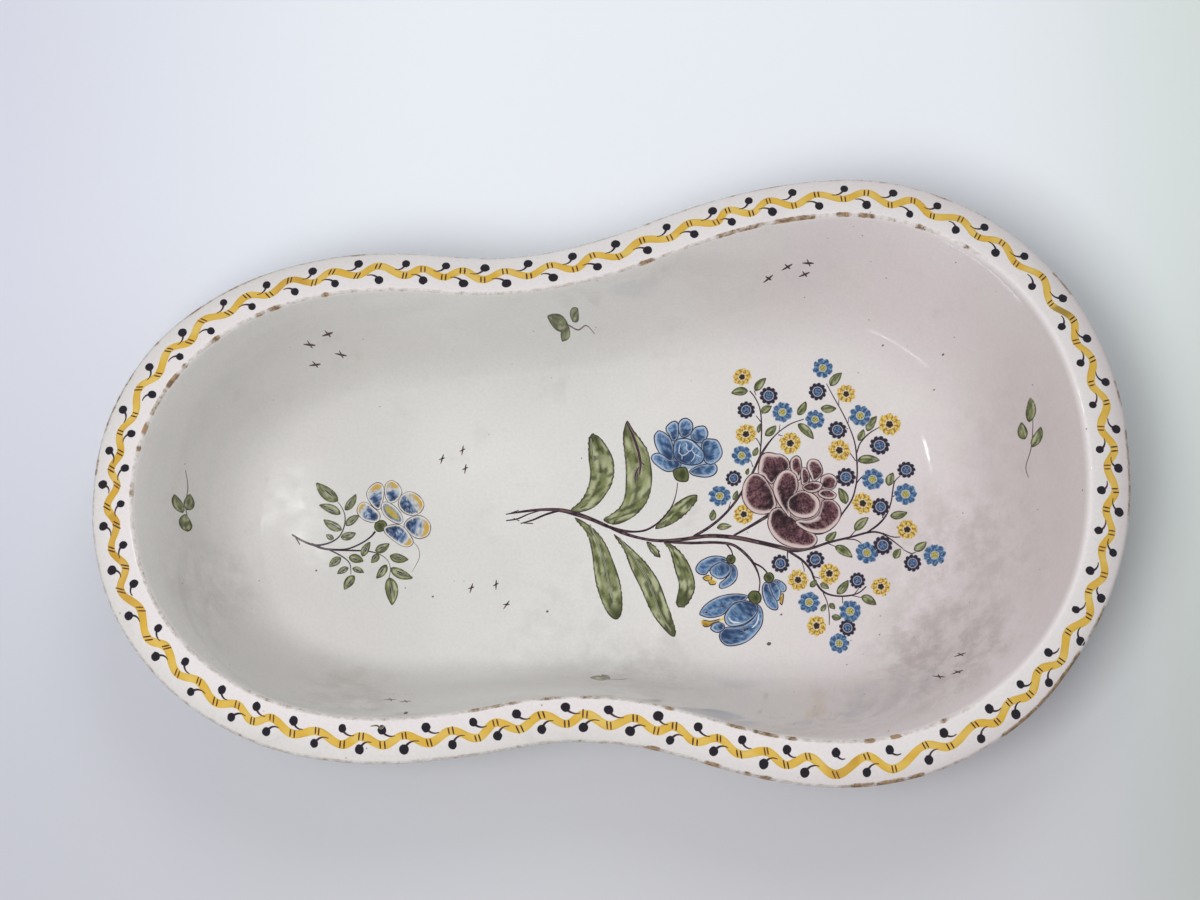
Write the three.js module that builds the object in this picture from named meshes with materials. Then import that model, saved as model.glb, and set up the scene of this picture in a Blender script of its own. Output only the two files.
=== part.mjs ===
// Bidet pan of tin-glazed earthenware: a shallow violin-shaped basin with a sloping, rolled rim.
// It is hand-built from a clay floor slab, a wall and a rim flange, luted together with slip.
// A white glaze coat covers the inside, the rim and the outside, and leaves the base bare.
// A painted ribbon runs round the rim on top of the glaze.
// Millimetres, +Z up. X runs along the basin, with the large lobe at +X and the small one at -X.
// The origin lies under the middle of the base, and Z = 0 is the face that the pan stands on.
import * as THREE from "three";

// Plan of the outer edge. The two long sides differ a little, as on the hand-built original.
const LENGTH = 530;
const SMALL_LOBE_FAR = 130; // half widths, from the long axis to each side
const SMALL_LOBE_NEAR = 136;
const WAIST_FAR = 124;
const WAIST_NEAR = 130;
const LARGE_LOBE_FAR = 155;
const LARGE_LOBE_NEAR = 161;
const SMALL_LOBE_FAR_AT = 144; // distances from the small end
const SMALL_LOBE_NEAR_AT = 154;
const WAIST_FAR_AT = 215;
const WAIST_NEAR_AT = 232;
const LARGE_LOBE_FAR_AT = 141; // distances from the large end
const LARGE_LOBE_NEAR_AT = 147;

// Fullness of the curves between those places: handle length as a share of the curve's own span.
const FULLNESS = {
  smallTip: 0.58,
  smallShoulder: 0.59,
  smallToWaist: 0.53,
  waistFromSmall: 0.33,
  waistToLarge: 0.4,
  largeFromWaist: 0.45,
  largeShoulder: 0.4,
  largeTip: 0.72,
};

// Heights and walls.
const HEIGHT = 78; // base to the rim's inner edge, which is the highest line
const FLOOR_THICKNESS = 8;
const WALL_THICKNESS = 7.5;
const RIM_WIDTH = 22.2;
const RIM_THICKNESS = 7.2;
const RIM_DROP = 9; // how far the rim's top falls from its inner edge to its outer edge
const RIM_CURVE = 1.4; // power of the rim's fall: 1 is a straight slope, more is rounder

// Run of the wall in plan, from the rim's inner edge to the flat floor.
const RUN_SMALL_END = 58;
const RUN_SMALL_LOBE = 42;
const RUN_WAIST = 30;
const RUN_LARGE_LOBE = 60;
const RUN_LARGE_END = 88;
const FLOOR_LOBE_SHIFT = 22; // the floor is widest this far towards the middle from the large lobe

// Shape of the wall: its two curve handles as shares of the run and of the depth.
const LIP_RUN = 0.35;
const LIP_DROP = 0.35;
const FOOT_RUN = 0.55;

// Glaze, joints and paint.
const GLAZE = 0.6;
const SKIN_GAP = 0.3; // between the clay and the glaze coat
const JOINT_GAP = 0.3; // between luted clay pieces, and between the edges of the glaze coats
const RIM_JOINT = 0.12; // place of the joint of rim and wall, as a share of the wall's curve
const RIBBON_WAVES = 57;
const RIBBON_SWING = 2.7;
const RIBBON_WIDTH = 3.6;
const RIBBON_OFFSET = 1; // from the middle of the rim to the ribbon's line, inwards
const PAINT = 0.4;
const PAINT_GAP = 0.3; // under the painted ribbon, over the rounded glaze

// Fineness of the facets.
const STATIONS = [9, 5, 7, 11]; // per curve of one long side, from the small end to the large end
const RIM_STEPS = 4;
const NOSE_STEPS = 4;
const WALL_STEPS = 7; // from the joint with the rim down to the floor
const GLAZED_STEPS = 6; // of those on the outside, counted from the rim: the rest is bare
const WAVE_STEPS = 6;

const DEPTH = HEIGHT - FLOOR_THICKNESS;
const NOSE = RIM_THICKNESS / 2;
const CLAY = GLAZE + SKIN_GAP; // how deep the clay lies under the visible surface

// One long side as four curves, from the small end to the large end. Each list holds
// [distance along X, half width] of the end, the lobe, the waist, the lobe and the other end.
function sideCurves([smallEnd, smallLobe, waist, largeLobe, largeEnd], side) {
  const at = (x, y) => new THREE.Vector2(x, side * y);
  const between = (a, b, share) => a + (b - a) * share;
  const [x0, x1, x2, x3, x4] = [smallEnd[0], smallLobe[0], waist[0], largeLobe[0], largeEnd[0]];
  const [w1, w2, w3] = [smallLobe[1], waist[1], largeLobe[1]];
  const f = FULLNESS;
  return [
    new THREE.CubicBezierCurve(
      at(x0, 0),
      at(x0, w1 * f.smallTip),
      at(between(x1, x0, f.smallShoulder), w1),
      at(x1, w1),
    ),
    new THREE.CubicBezierCurve(
      at(x1, w1),
      at(between(x1, x2, f.smallToWaist), w1),
      at(between(x2, x1, f.waistFromSmall), w2),
      at(x2, w2),
    ),
    new THREE.CubicBezierCurve(
      at(x2, w2),
      at(between(x2, x3, f.waistToLarge), w2),
      at(between(x3, x2, f.largeFromWaist), w3),
      at(x3, w3),
    ),
    new THREE.CubicBezierCurve(
      at(x3, w3),
      at(between(x3, x4, f.largeShoulder), w3),
      at(x4, w3 * f.largeTip),
      at(x4, 0),
    ),
  ];
}

// The places of one side of the outer edge, and of the same side of the flat floor.
const SMALL_END_X = -LENGTH / 2;
const LARGE_END_X = LENGTH / 2;
const outerSide = (smallAt, small, waistAt, waist, largeAt, large) => [
  [SMALL_END_X, 0],
  [SMALL_END_X + smallAt, small],
  [SMALL_END_X + waistAt, waist],
  [LARGE_END_X - largeAt, large],
  [LARGE_END_X, 0],
];
const farOuter = outerSide(
  SMALL_LOBE_FAR_AT,
  SMALL_LOBE_FAR,
  WAIST_FAR_AT,
  WAIST_FAR,
  LARGE_LOBE_FAR_AT,
  LARGE_LOBE_FAR,
);
const nearOuter = outerSide(
  SMALL_LOBE_NEAR_AT,
  SMALL_LOBE_NEAR,
  WAIST_NEAR_AT,
  WAIST_NEAR,
  LARGE_LOBE_NEAR_AT,
  LARGE_LOBE_NEAR,
);
function floorSide([smallEnd, smallLobe, waist, largeLobe, largeEnd]) {
  return [
    [smallEnd[0] + RIM_WIDTH + RUN_SMALL_END, 0],
    [smallLobe[0], smallLobe[1] - RIM_WIDTH - RUN_SMALL_LOBE],
    [waist[0], waist[1] - RIM_WIDTH - RUN_WAIST],
    [largeLobe[0] - FLOOR_LOBE_SHIFT, largeLobe[1] - RIM_WIDTH - RUN_LARGE_LOBE],
    [largeEnd[0] - RIM_WIDTH - RUN_LARGE_END, 0],
  ];
}

// Points and tangents round a whole outline: out along the far side, back along the near side.
function walk(farPlaces, nearPlaces, counts) {
  const far = sideCurves(farPlaces, 1).flatMap((curve, i) =>
    Array.from({ length: counts[i] }, (_, k) => ({
      point: curve.getPointAt(k / counts[i]),
      tangent: curve.getTangentAt(k / counts[i]),
    })),
  );
  const near = sideCurves(nearPlaces, -1).flatMap((curve, i) =>
    Array.from({ length: counts[i] }, (_, k) => ({
      point: curve.getPointAt((k + 1) / counts[i]),
      tangent: curve.getTangentAt((k + 1) / counts[i]).negate(),
    })),
  );
  return [...far, ...near.reverse()];
}
const inward = (tangent) => new THREE.Vector2(tangent.y, -tangent.x);

// One station of the sweep: where the outer edge, the rim's inner edge and the floor lie in plan.
const floorWalk = walk(floorSide(farOuter), floorSide(nearOuter), STATIONS);
const stations = walk(farOuter, nearOuter, STATIONS).map(({ point, tangent }, i) => {
  const into = inward(tangent);
  const lip = point.clone().addScaledVector(into, RIM_WIDTH);
  const floor = floorWalk[i].point;
  const down = floor.clone().sub(lip);
  const run = down.length();
  return { edge: point, into, lip, down: down.divideScalar(run), run };
});

// A point of a section, p mm in from the outer edge and z mm up, put in place at a station.
function place({ edge, into, lip, down }, [p, z]) {
  const plan =
    p <= RIM_WIDTH
      ? edge.clone().addScaledVector(into, p)
      : lip.clone().addScaledVector(down, p - RIM_WIDTH);
  return new THREE.Vector3(plan.x, plan.y, z);
}

// The rim's top at p: its height, and its unit normal into the clay.
function rimTop(p) {
  const left = (RIM_WIDTH - p) / RIM_WIDTH;
  const slope = ((RIM_CURVE * RIM_DROP) / RIM_WIDTH) * left ** (RIM_CURVE - 1);
  const size = Math.hypot(slope, 1);
  return { z: HEIGHT - RIM_DROP * left ** RIM_CURVE, normal: [slope / size, -1 / size] };
}
function rimPoint(p, deep) {
  const { z, normal } = rimTop(p);
  return [p + normal[0] * deep, z + normal[1] * deep];
}

// The rolled nose: a round of half the rim's thickness that the outer edge touches.
const noseTop = NOSE * (1 - rimTop(NOSE / 2).normal[0]);
function nosePoint(share, deep) {
  const { z, normal } = rimTop(noseTop);
  const centre = [noseTop + normal[0] * NOSE, z + normal[1] * NOSE];
  const angle = Math.atan2(-normal[1], -normal[0]) + Math.PI * share;
  const radius = NOSE - deep;
  return [centre[0] + radius * Math.cos(angle), centre[1] + radius * Math.sin(angle)];
}

// The wall's inner face at a share t of its curve, and its unit normal into the clay.
function wallPoint(run, t, deep) {
  const curve = new THREE.CubicBezierCurve(
    new THREE.Vector2(RIM_WIDTH, HEIGHT),
    new THREE.Vector2(RIM_WIDTH + run * LIP_RUN, HEIGHT - DEPTH * LIP_DROP),
    new THREE.Vector2(RIM_WIDTH + run * FOOT_RUN, FLOOR_THICKNESS),
    new THREE.Vector2(RIM_WIDTH + run, FLOOR_THICKNESS),
  );
  const point = curve.getPoint(t);
  const tangent = curve.getTangent(t);
  return [point.x + tangent.y * deep, point.y - tangent.x * deep];
}
const wallThickness = (t) => WALL_THICKNESS + (FLOOR_THICKNESS - WALL_THICKNESS) * t;
const outerWallPoint = (run, t, deep) => wallPoint(run, t, wallThickness(t) - deep);

// The rim's inner edge, where rim and wall meet at an angle. along moves down the wall.
function lipPoint(run, deep, along) {
  const tangent = wallPoint(run, 0, 0).map((v, i) => wallPoint(run, 0, 1)[i] - v);
  const steepness = Math.acos(-tangent[1]);
  return [
    RIM_WIDTH - deep * Math.tan(steepness / 2) + along * Math.cos(steepness),
    HEIGHT - deep - along * Math.sin(steepness),
  ];
}

const shares = (from, to, steps) =>
  Array.from({ length: steps + 1 }, (_, k) => from + ((to - from) * k) / steps);
const UNDER_RIM = [5, 15]; // where the underside of the rim is laid out, in from the edge

// The lines of a section at a depth under the visible surface, each from outside to inside.
const rimTopLine = (deep) =>
  shares(noseTop, RIM_WIDTH, RIM_STEPS)
    .slice(1, -1)
    .map((p) => rimPoint(p, deep));
const noseLine = (deep) => shares(0, 1, NOSE_STEPS).map((share) => nosePoint(share, deep));
const underLine = (deep) => UNDER_RIM.map((p) => rimPoint(p, RIM_THICKNESS - deep));
const wallShares = shares(RIM_JOINT, 1, WALL_STEPS);
const wallLine = (run, deep) => wallShares.map((t) => wallPoint(run, t, deep));
const outerWallLine = (run, deep) => wallShares.map((t) => outerWallPoint(run, t, deep));

// Closed body lofted over a list of sections, one per station, each a closed line of points.
// Each face is split from its higher point at one station to its lower point at the next, so that
// clay and glaze, which run side by side, are split alike and keep their gap.
function ring(sectionOf) {
  const rows = stations.map((station) => sectionOf(station).map((q) => place(station, q)));
  return loft(rows, true);
}
function loft(rows, closedAcross) {
  const across = rows[0].length;
  const positions = rows.flat().flatMap((v) => v.toArray());
  const index = [];
  const lastStep = closedAcross ? across : across - 1;
  for (let i = 0; i < rows.length; i += 1) {
    const next = (i + 1) % rows.length;
    for (let j = 0; j < lastStep; j += 1) {
      const beside = (j + 1) % across;
      const [a, b] = [i * across + j, i * across + beside];
      const [c, d] = [next * across + j, next * across + beside];
      if (rows[i][j].z > rows[i][beside].z) index.push(a, b, d, a, d, c);
      else index.push(a, b, c, b, d, c);
    }
  }
  const geometry = new THREE.BufferGeometry();
  geometry.setAttribute("position", new THREE.Float32BufferAttribute(positions, 3));
  geometry.setIndex(index);
  return geometry;
}

// Flat plate between two heights with the floor's outline.
function floorSlab() {
  const outline = stations.map(({ lip, down, run }) =>
    lip.clone().addScaledVector(down, run + JOINT_GAP),
  );
  return new THREE.ExtrudeGeometry(new THREE.Shape(outline), {
    depth: FLOOR_THICKNESS - CLAY,
    bevelEnabled: false,
  });
}

// The wall: inner face down to the floor slab, its edge there, and the outer face back up.
// Its top edge stands a joint's gap under the rim.
function wall() {
  return ring(({ run }) => {
    const inner = wallLine(run, CLAY);
    const outer = outerWallLine(run, CLAY).reverse();
    outer[0] = [RIM_WIDTH + run, 0];
    inner[0][1] -= JOINT_GAP;
    outer[outer.length - 1][1] -= JOINT_GAP;
    return [...inner, ...outer];
  });
}

// The rim flange: its sloping top, the rolled nose, the underside and the seat on the wall.
function rim() {
  return ring(({ run }) => [
    ...rimTopLine(CLAY),
    lipPoint(run, CLAY, 0),
    wallPoint(run, RIM_JOINT, CLAY),
    outerWallPoint(run, RIM_JOINT, CLAY),
    ...underLine(CLAY).reverse(),
    ...noseLine(CLAY).reverse(),
  ]);
}

// A glaze coat follows a visible line and comes back at the glaze's own depth.
const coat = (lineAt) => ring(({ run }) => [...lineAt(run, 0), ...lineAt(run, GLAZE).reverse()]);
const HALF_GAP = JOINT_GAP / 2;

function rimGlaze() {
  return coat((run, deep) => {
    const lip = lipPoint(run, deep, 0);
    const end = outerWallPoint(run, RIM_JOINT, deep);
    return [
      [end[0], end[1] + HALF_GAP],
      ...underLine(deep).reverse(),
      ...noseLine(deep).reverse(),
      ...rimTopLine(deep),
      [lip[0] - HALF_GAP, lip[1]],
    ];
  });
}

function outsideGlaze() {
  return coat((run, deep) => {
    const line = outerWallLine(run, deep).slice(0, GLAZED_STEPS + 1);
    line[0][1] -= HALF_GAP;
    return line.reverse();
  });
}

// The glaze inside the basin: down the wall and across the floor, closed by two flat sheets.
function basinGlaze() {
  const lineAt = (run, deep) => [lipPoint(run, deep, HALF_GAP), ...wallLine(run, deep)];
  const rows = stations.map((station) =>
    [...lineAt(station.run, GLAZE).reverse(), ...lineAt(station.run, 0)].map((q) =>
      place(station, q),
    ),
  );
  const shell = loft(rows, false);
  const across = rows[0].length;
  const [under, upper] = [0, across - 1];
  const outline = stations.map(({ lip, down, run }) => lip.clone().addScaledVector(down, run));
  const index = [...shell.index.array];
  for (const [a, b, c] of THREE.ShapeUtils.triangulateShape(outline, [])) {
    index.push(a * across + upper, b * across + upper, c * across + upper);
    index.push(a * across + under, c * across + under, b * across + under);
  }
  shell.setIndex(index);
  return shell;
}

// The painted ribbon: a wave that swings either side of a line round the rim, laid on its top.
function ribbon() {
  const fine = STATIONS.map((count) => count * WAVE_STEPS * 2);
  const path = walk(farOuter, nearOuter, fine);
  const line = RIM_WIDTH / 2 + RIBBON_OFFSET;
  const lengths = [0];
  path.forEach(({ point }, i) => {
    const next = path[(i + 1) % path.length].point;
    lengths.push(lengths[i] + point.distanceTo(next));
  });
  const total = lengths[path.length];
  const steps = RIBBON_WAVES * WAVE_STEPS;
  const centre = Array.from({ length: steps }, (_, k) => {
    const target = (total * k) / steps;
    const i = lengths.findLastIndex((s) => s <= target);
    const { point, tangent } = path[i];
    const ahead = path[(i + 1) % path.length];
    const share = (target - lengths[i]) / (lengths[i + 1] - lengths[i]);
    const into = inward(tangent).lerp(inward(ahead.tangent), share).normalize();
    const inset = line - RIBBON_SWING * Math.cos((2 * Math.PI * k) / WAVE_STEPS);
    return { edge: point.clone().lerp(ahead.point, share), into, inset };
  });
  const planOf = ({ edge, into, inset }, more) => edge.clone().addScaledVector(into, inset + more);
  const rows = centre.map((here, k) => {
    const before = planOf(centre.at(k - 1), 0);
    const after = planOf(centre[(k + 1) % steps], 0);
    const forward = after.sub(before).normalize();
    const half = RIBBON_WIDTH / 2;
    const corner = (sideways, lift) => {
      const plan = planOf(here, 0).addScaledVector(inward(forward), sideways);
      const inset = here.inset + sideways * inward(forward).dot(here.into);
      return new THREE.Vector3(plan.x, plan.y, rimTop(inset).z + lift);
    };
    return [
      corner(-half, PAINT_GAP),
      corner(-half, PAINT_GAP + PAINT),
      corner(half, PAINT_GAP + PAINT),
      corner(half, PAINT_GAP),
    ];
  });
  return loft(rows, true);
}

const clay = { color: 0xb98a62, roughness: 0.9, metalness: 0 };
const whiteGlaze = { color: 0xe6e2df, roughness: 0.2, metalness: 0 };
const basinWhite = { color: 0xdad8d3, roughness: 0.2, metalness: 0 };
const ochre = { color: 0xd2a24a, roughness: 0.3, metalness: 0 };

const pan = new THREE.Group();
function add(name, geometry, finish) {
  const mesh = new THREE.Mesh(geometry, new THREE.MeshStandardMaterial(finish));
  mesh.name = name;
  pan.add(mesh);
}
add("floor_slab", floorSlab(), clay);
add("basin_wall", wall(), clay);
add("rim_flange", rim(), clay);
add("basin_glaze", basinGlaze(), basinWhite);
add("rim_glaze", rimGlaze(), whiteGlaze);
add("outside_glaze", outsideGlaze(), whiteGlaze);
add("ribbon_border", ribbon(), ochre);

// The near side is the wider one, so the plan moves over to have the origin under its middle.
pan.position.y = (LARGE_LOBE_NEAR - LARGE_LOBE_FAR) / 2;

export default pan;
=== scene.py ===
import math

import bpy
import numpy as np
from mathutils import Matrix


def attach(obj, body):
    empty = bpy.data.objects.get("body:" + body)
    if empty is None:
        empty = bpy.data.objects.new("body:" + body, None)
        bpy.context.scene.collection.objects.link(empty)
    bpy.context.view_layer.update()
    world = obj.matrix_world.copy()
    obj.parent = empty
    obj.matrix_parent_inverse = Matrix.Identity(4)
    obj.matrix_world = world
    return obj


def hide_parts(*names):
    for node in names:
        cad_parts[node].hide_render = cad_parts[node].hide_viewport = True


# The looks of a faience bidet pan, seen from above: a white tin glaze over buff clay, with a ribbon
# border and flower sprays painted in the glaze. Shapes are worked out in millimetres and put into
# Blender in metres. X runs along the basin to the large lobe, Y to the far side, Z up.
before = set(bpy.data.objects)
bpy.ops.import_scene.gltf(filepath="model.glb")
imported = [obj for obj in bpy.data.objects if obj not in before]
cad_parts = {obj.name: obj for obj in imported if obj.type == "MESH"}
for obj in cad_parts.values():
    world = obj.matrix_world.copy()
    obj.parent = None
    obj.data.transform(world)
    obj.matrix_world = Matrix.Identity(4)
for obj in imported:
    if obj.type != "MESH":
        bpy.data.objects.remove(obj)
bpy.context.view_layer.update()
MM = 0.001

# The pan's driving sizes, in millimetres, as in the CAD part.
HEIGHT = 78.0
FLOOR = 8.0
RIM_WIDTH = 22.2
RIM_THICKNESS = 7.2
RIM_DROP = 9.0
RIM_CURVE = 1.4
WALL_TOP, WALL_FOOT = 7.5, 8.0
LIP_RUN, LIP_DROP, FOOT_RUN = 0.35, 0.35, 0.55
GLAZE = 0.6
PLAN_SHIFT = 3.0  # the near side is the wider one, so the plan sits this far towards the far side
FAR_EDGE = [(-265, 0), (-121, 130), (-50, 124), (124, 155), (265, 0)]
NEAR_EDGE = [(-265, 0), (-111, 136), (-33, 130), (118, 161), (265, 0)]
RUNS = [58, 42, 30, 60, 88]  # of the wall in plan, at the end, lobe, waist, lobe and end
FLOOR_LOBE_SHIFT = 22  # how far the floor's large lobe sits nearer to the waist
# Handles of the outline's curves, as shares of each curve's span, from the small end on.
TIP, SHOULDER, TO_WAIST, FROM_SMALL = 0.58, 0.59, 0.53, 0.33
TO_LARGE, FROM_WAIST, LARGE_SHOULDER, LARGE_TIP = 0.4, 0.45, 0.4, 0.72
CURVE_STEPS = 1500  # fine steps by which a curve's length is measured
SIDE_STEPS = (120, 70, 96, 152)  # points on the four curves of a side
SECANT_ROUNDS, LONGEST_STEP = 7, 40  # of the search for a wall point's line, the step in mm

# Colours as sRGB hex.
GLAZE_GREY, GLAZE_MILK, GLAZE_WARM, GLAZE_PINK = "#dedcd8", "#e4e2de", "#e8e2e0", "#dbcfd0"
GRIME_AND_SHADE_GREY, PINHOLE, LIP_STAIN = "#8f8680", "#5d4c40", "#9a8873"
CLAY_BUFF, CLAY_SAND, CLAY_TAN, CLAY_DARK = "#c39a6c", "#b58a5c", "#a5845c", "#6b5138"
OCHRE, OCHRE_DEEP, OCHRE_PALE = "#dbb043", "#94701f", "#ecd998"
COBALT, COBALT_DEEP, COBALT_PALE = "#426792", "#1e3358", "#86a2c0"
GREEN, GREEN_DEEP, GREEN_PALE = "#7a8052", "#3d4426", "#b1b48d"
MANGANESE, MANGANESE_DEEP, MANGANESE_PALE = "#55323a", "#1d0e13", "#d3bdb9"
INK, INK_BROWN, BERRY = "#1f1820", "#3b262a", "#1b1820"


def linear(code):
    """Linear colour of an sRGB hex code."""
    share = np.array([int(code[i : i + 2], 16) for i in (1, 3, 5)]) / 255
    return np.where(share <= 0.04045, share / 12.92, ((share + 0.055) / 1.055) ** 2.4)


def rise(low, high, x):
    """0 below low, 1 above high, and a smooth S between them."""
    t = np.clip((x - low) / (high - low), 0, 1)
    return t * t * (3 - 2 * t)


def mottle(x, y, size, seed):
    """Cloudy value from 0 to 1: seven crossed cosines, each about size mm long, added up."""
    draw = np.random.default_rng(seed)
    turn, phase = draw.uniform(0, 2 * np.pi, (2, 7))
    wave = 2 * np.pi / (size * draw.uniform(0.6, 1.6, 7))
    total = sum(
        np.cos(k * (x * math.cos(a) + y * math.sin(a)) + b) for k, a, b in zip(wave, turn, phase)
    )
    return np.clip(0.5 + total / 7, 0, 1)


# The pan's form.


def bezier(points, t):
    """Cubic curve with four control points, at shares t."""
    a, b, c, d = (np.array(p, float) for p in points)
    t = t[:, None]
    return (1 - t) ** 3 * a + 3 * (1 - t) ** 2 * t * b + 3 * (1 - t) * t * t * c + t**3 * d


def side_curves(places, side):
    """One long side as four curves, each handle a share of its own curve's span."""
    (x0, _), (x1, w1), (x2, w2), (x3, w3), (x4, _) = places
    span = lambda a, b, share: a + (b - a) * share
    at = lambda x, w: (x, side * w)
    return [
        [at(x0, 0), at(x0, w1 * TIP), at(span(x1, x0, SHOULDER), w1), at(x1, w1)],
        [at(x1, w1), at(span(x1, x2, TO_WAIST), w1), at(span(x2, x1, FROM_SMALL), w2), at(x2, w2)],
        [at(x2, w2), at(span(x2, x3, TO_LARGE), w2), at(span(x3, x2, FROM_WAIST), w3), at(x3, w3)],
        [at(x3, w3), at(span(x3, x4, LARGE_SHOULDER), w3), at(x4, w3 * LARGE_TIP), at(x4, 0)],
    ]


def even(points, count):
    """The curve's points at even distances along it, without the last one."""
    fine = bezier(points, np.linspace(0, 1, CURVE_STEPS))
    gone = np.r_[0, np.cumsum(np.hypot(*np.diff(fine, axis=0).T))]
    want = gone[-1] * np.arange(count) / count
    return np.stack([np.interp(want, gone, fine[:, i]) for i in (0, 1)], 1)


def walk(far, near):
    """A whole outline: out along the far side, and back along the near side."""
    out = [even(c, n) for c, n in zip(side_curves(far, 1), SIDE_STEPS)]
    back = [even(c[::-1], n) for c, n in zip(side_curves(near, -1)[::-1], SIDE_STEPS[::-1])]
    return np.concatenate(out + back)


def floor_places(edge):
    """The floor's outline: the edge's places, less the rim's width and the wall's run."""
    (x0, _), (x1, w1), (x2, w2), (x3, w3), (x4, _) = edge
    return [
        (x0 + RIM_WIDTH + RUNS[0], 0),
        (x1, w1 - RIM_WIDTH - RUNS[1]),
        (x2, w2 - RIM_WIDTH - RUNS[2]),
        (x3 - FLOOR_LOBE_SHIFT, w3 - RIM_WIDTH - RUNS[3]),
        (x4 - RIM_WIDTH - RUNS[4], 0),
    ]


def close(table):
    """The table with its first row once more at its end."""
    return np.concatenate([table, table[:1]])


def plan_tables():
    """The length of the outer edge up to each of its points, and for the same points the edge, its
    inward direction, the lip and the floor's outline, each in plan and closed."""
    edge = walk(FAR_EDGE, NEAR_EDGE)
    ahead = np.roll(edge, -1, 0) - np.roll(edge, 1, 0)
    ahead /= np.hypot(*ahead.T)[:, None]
    into = np.stack([ahead[:, 1], -ahead[:, 0]], 1)
    lip = edge + into * RIM_WIDTH
    foot = walk(floor_places(FAR_EDGE), floor_places(NEAR_EDGE))
    gone = np.r_[0, np.cumsum(np.hypot(*np.diff(close(edge), axis=0).T))]
    shifted = (("edge", edge), ("lip", lip), ("foot", foot))
    tables = {name: close(line) + (0, PLAN_SHIFT) for name, line in shifted}
    tables["into"] = close(into)
    return gone, tables


GONE, PLAN = plan_tables()
ROUND = GONE[-1]  # length of the outer edge


def plan(name, s):
    """A plan table's x and y at distances s round the outer edge, from the small end's tip."""
    s = np.mod(s, ROUND)
    return np.stack([np.interp(s, GONE, PLAN[name][:, i]) for i in (0, 1)], -1)


def ripple(x, y):
    """Hand-made unevenness of the surface: three long crossed waves, never above zero."""
    waves = np.sin(x / 17 + 1.3) * np.sin(y / 21 + 0.4) + np.sin((x + 0.6 * y) / 29 + 2)
    return 0.08 * (waves + np.sin((y - 0.4 * x) / 15)) - 0.24


def swell(drop):
    """How much thicker the glaze lies where it ran down inside: up to 0.4 mm below the lip."""
    return 0.4 * rise(0.02, 0.2, drop)


def rim_top(p):
    """Height and slope of the rim's top, p mm in from the edge: a power curve that falls outwards."""
    left = np.clip((RIM_WIDTH - p) / RIM_WIDTH, 0, 1)
    height = HEIGHT - RIM_DROP * left**RIM_CURVE
    return height, RIM_CURVE * RIM_DROP / RIM_WIDTH * left ** (RIM_CURVE - 1)


def wall_share(t):
    """Run and drop of the wall's curve, each from 0 at the lip to 1 at the floor."""
    run = 3 * (1 - t) ** 2 * t * LIP_RUN + 3 * (1 - t) * t * t * FOOT_RUN + t**3
    drop = 3 * (1 - t) ** 2 * t * LIP_DROP + 3 * (1 - t) * t * t + t**3
    return run, drop


T_FINE = np.linspace(0, 1, 2001)
RUN_FINE, DROP_FINE = wall_share(T_FINE)


def on_rim(s, p, lift=0.0):
    """Point on the rim's top at distance s round the edge and p mm in from it."""
    xy = plan("edge", s) + plan("into", s) * p[..., None]
    z = rim_top(p)[0] + ripple(xy[..., 0], xy[..., 1]) + lift
    return np.concatenate([xy, z[..., None]], -1)


def out_angle(name):
    """Direction of each point of a plan table from the plan's middle, rising round the edge."""
    xy = PLAN[name][:-1] - (0, PLAN_SHIFT)
    angle = -np.arctan2(xy[:, 1], xy[:, 0])
    angle[0] = -np.pi
    return angle


LIP_ANGLE, FOOT_ANGLE = out_angle("lip"), out_angle("foot")


def on_basin(x, y, lift=0.0):
    """Point on the basin's face over a plan point. Each point of the wall lies on one straight
    line from lip to floor, found by the secant rule; its share of that line gives the height."""
    angle = -np.arctan2(y - PLAN_SHIFT, x)
    s_lip = np.interp(angle, LIP_ANGLE, GONE[:-1])
    s_foot = np.interp(angle, FOOT_ANGLE, GONE[:-1])
    here = np.stack([x, y], -1)

    def miss(s):
        """How far the line at s passes beside the point, and the point's share along that line."""
        top, down = plan("lip", s), plan("foot", s) - plan("lip", s)
        away = here - top
        cross = away[..., 0] * down[..., 1] - away[..., 1] * down[..., 0]
        return cross / np.sum(down**2, -1), np.sum(away * down, -1) / np.sum(down**2, -1)

    s0, s1 = s_lip, 0.5 * (s_lip + s_foot) + 0.5
    m0 = miss(s0)[0]
    for _ in range(SECANT_ROUNDS):
        m1 = miss(s1)[0]
        flat = np.abs(m1 - m0) < 1e-9
        step = np.where(flat, 0, m1 * (s1 - s0) / np.where(flat, 1, m1 - m0))
        s0, m0, s1 = s1, m1, s1 - np.clip(step, -LONGEST_STEP, LONGEST_STEP)
    share = np.clip(miss(s1)[1], 0, 1)
    floor_xy = plan("foot", s_foot) - (0, PLAN_SHIFT)
    inside = np.hypot(x, y - PLAN_SHIFT) < np.hypot(floor_xy[..., 0], floor_xy[..., 1])
    drop = np.interp(np.interp(share, RUN_FINE, T_FINE), T_FINE, DROP_FINE)
    drop = np.where(inside, 1, drop)
    z = HEIGHT - (HEIGHT - FLOOR) * drop + swell(drop) + ripple(x, y)
    return np.stack([x, y, z + lift], -1)


# Meshes.


def grid_faces(rows, columns, wrap_rows=False, wrap_columns=False):
    """Four-cornered faces of a grid of points, wrapped round where the grid closes on itself."""
    i = np.arange(rows if wrap_rows else rows - 1)[:, None]
    j = np.arange(columns if wrap_columns else columns - 1)[None]
    a = i * columns + j
    b = i * columns + (j + 1) % columns
    c = (i + 1) % rows * columns + (j + 1) % columns
    d = (i + 1) % rows * columns + j
    return np.stack([a, b, c, d], -1).reshape(-1, 4)


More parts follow.
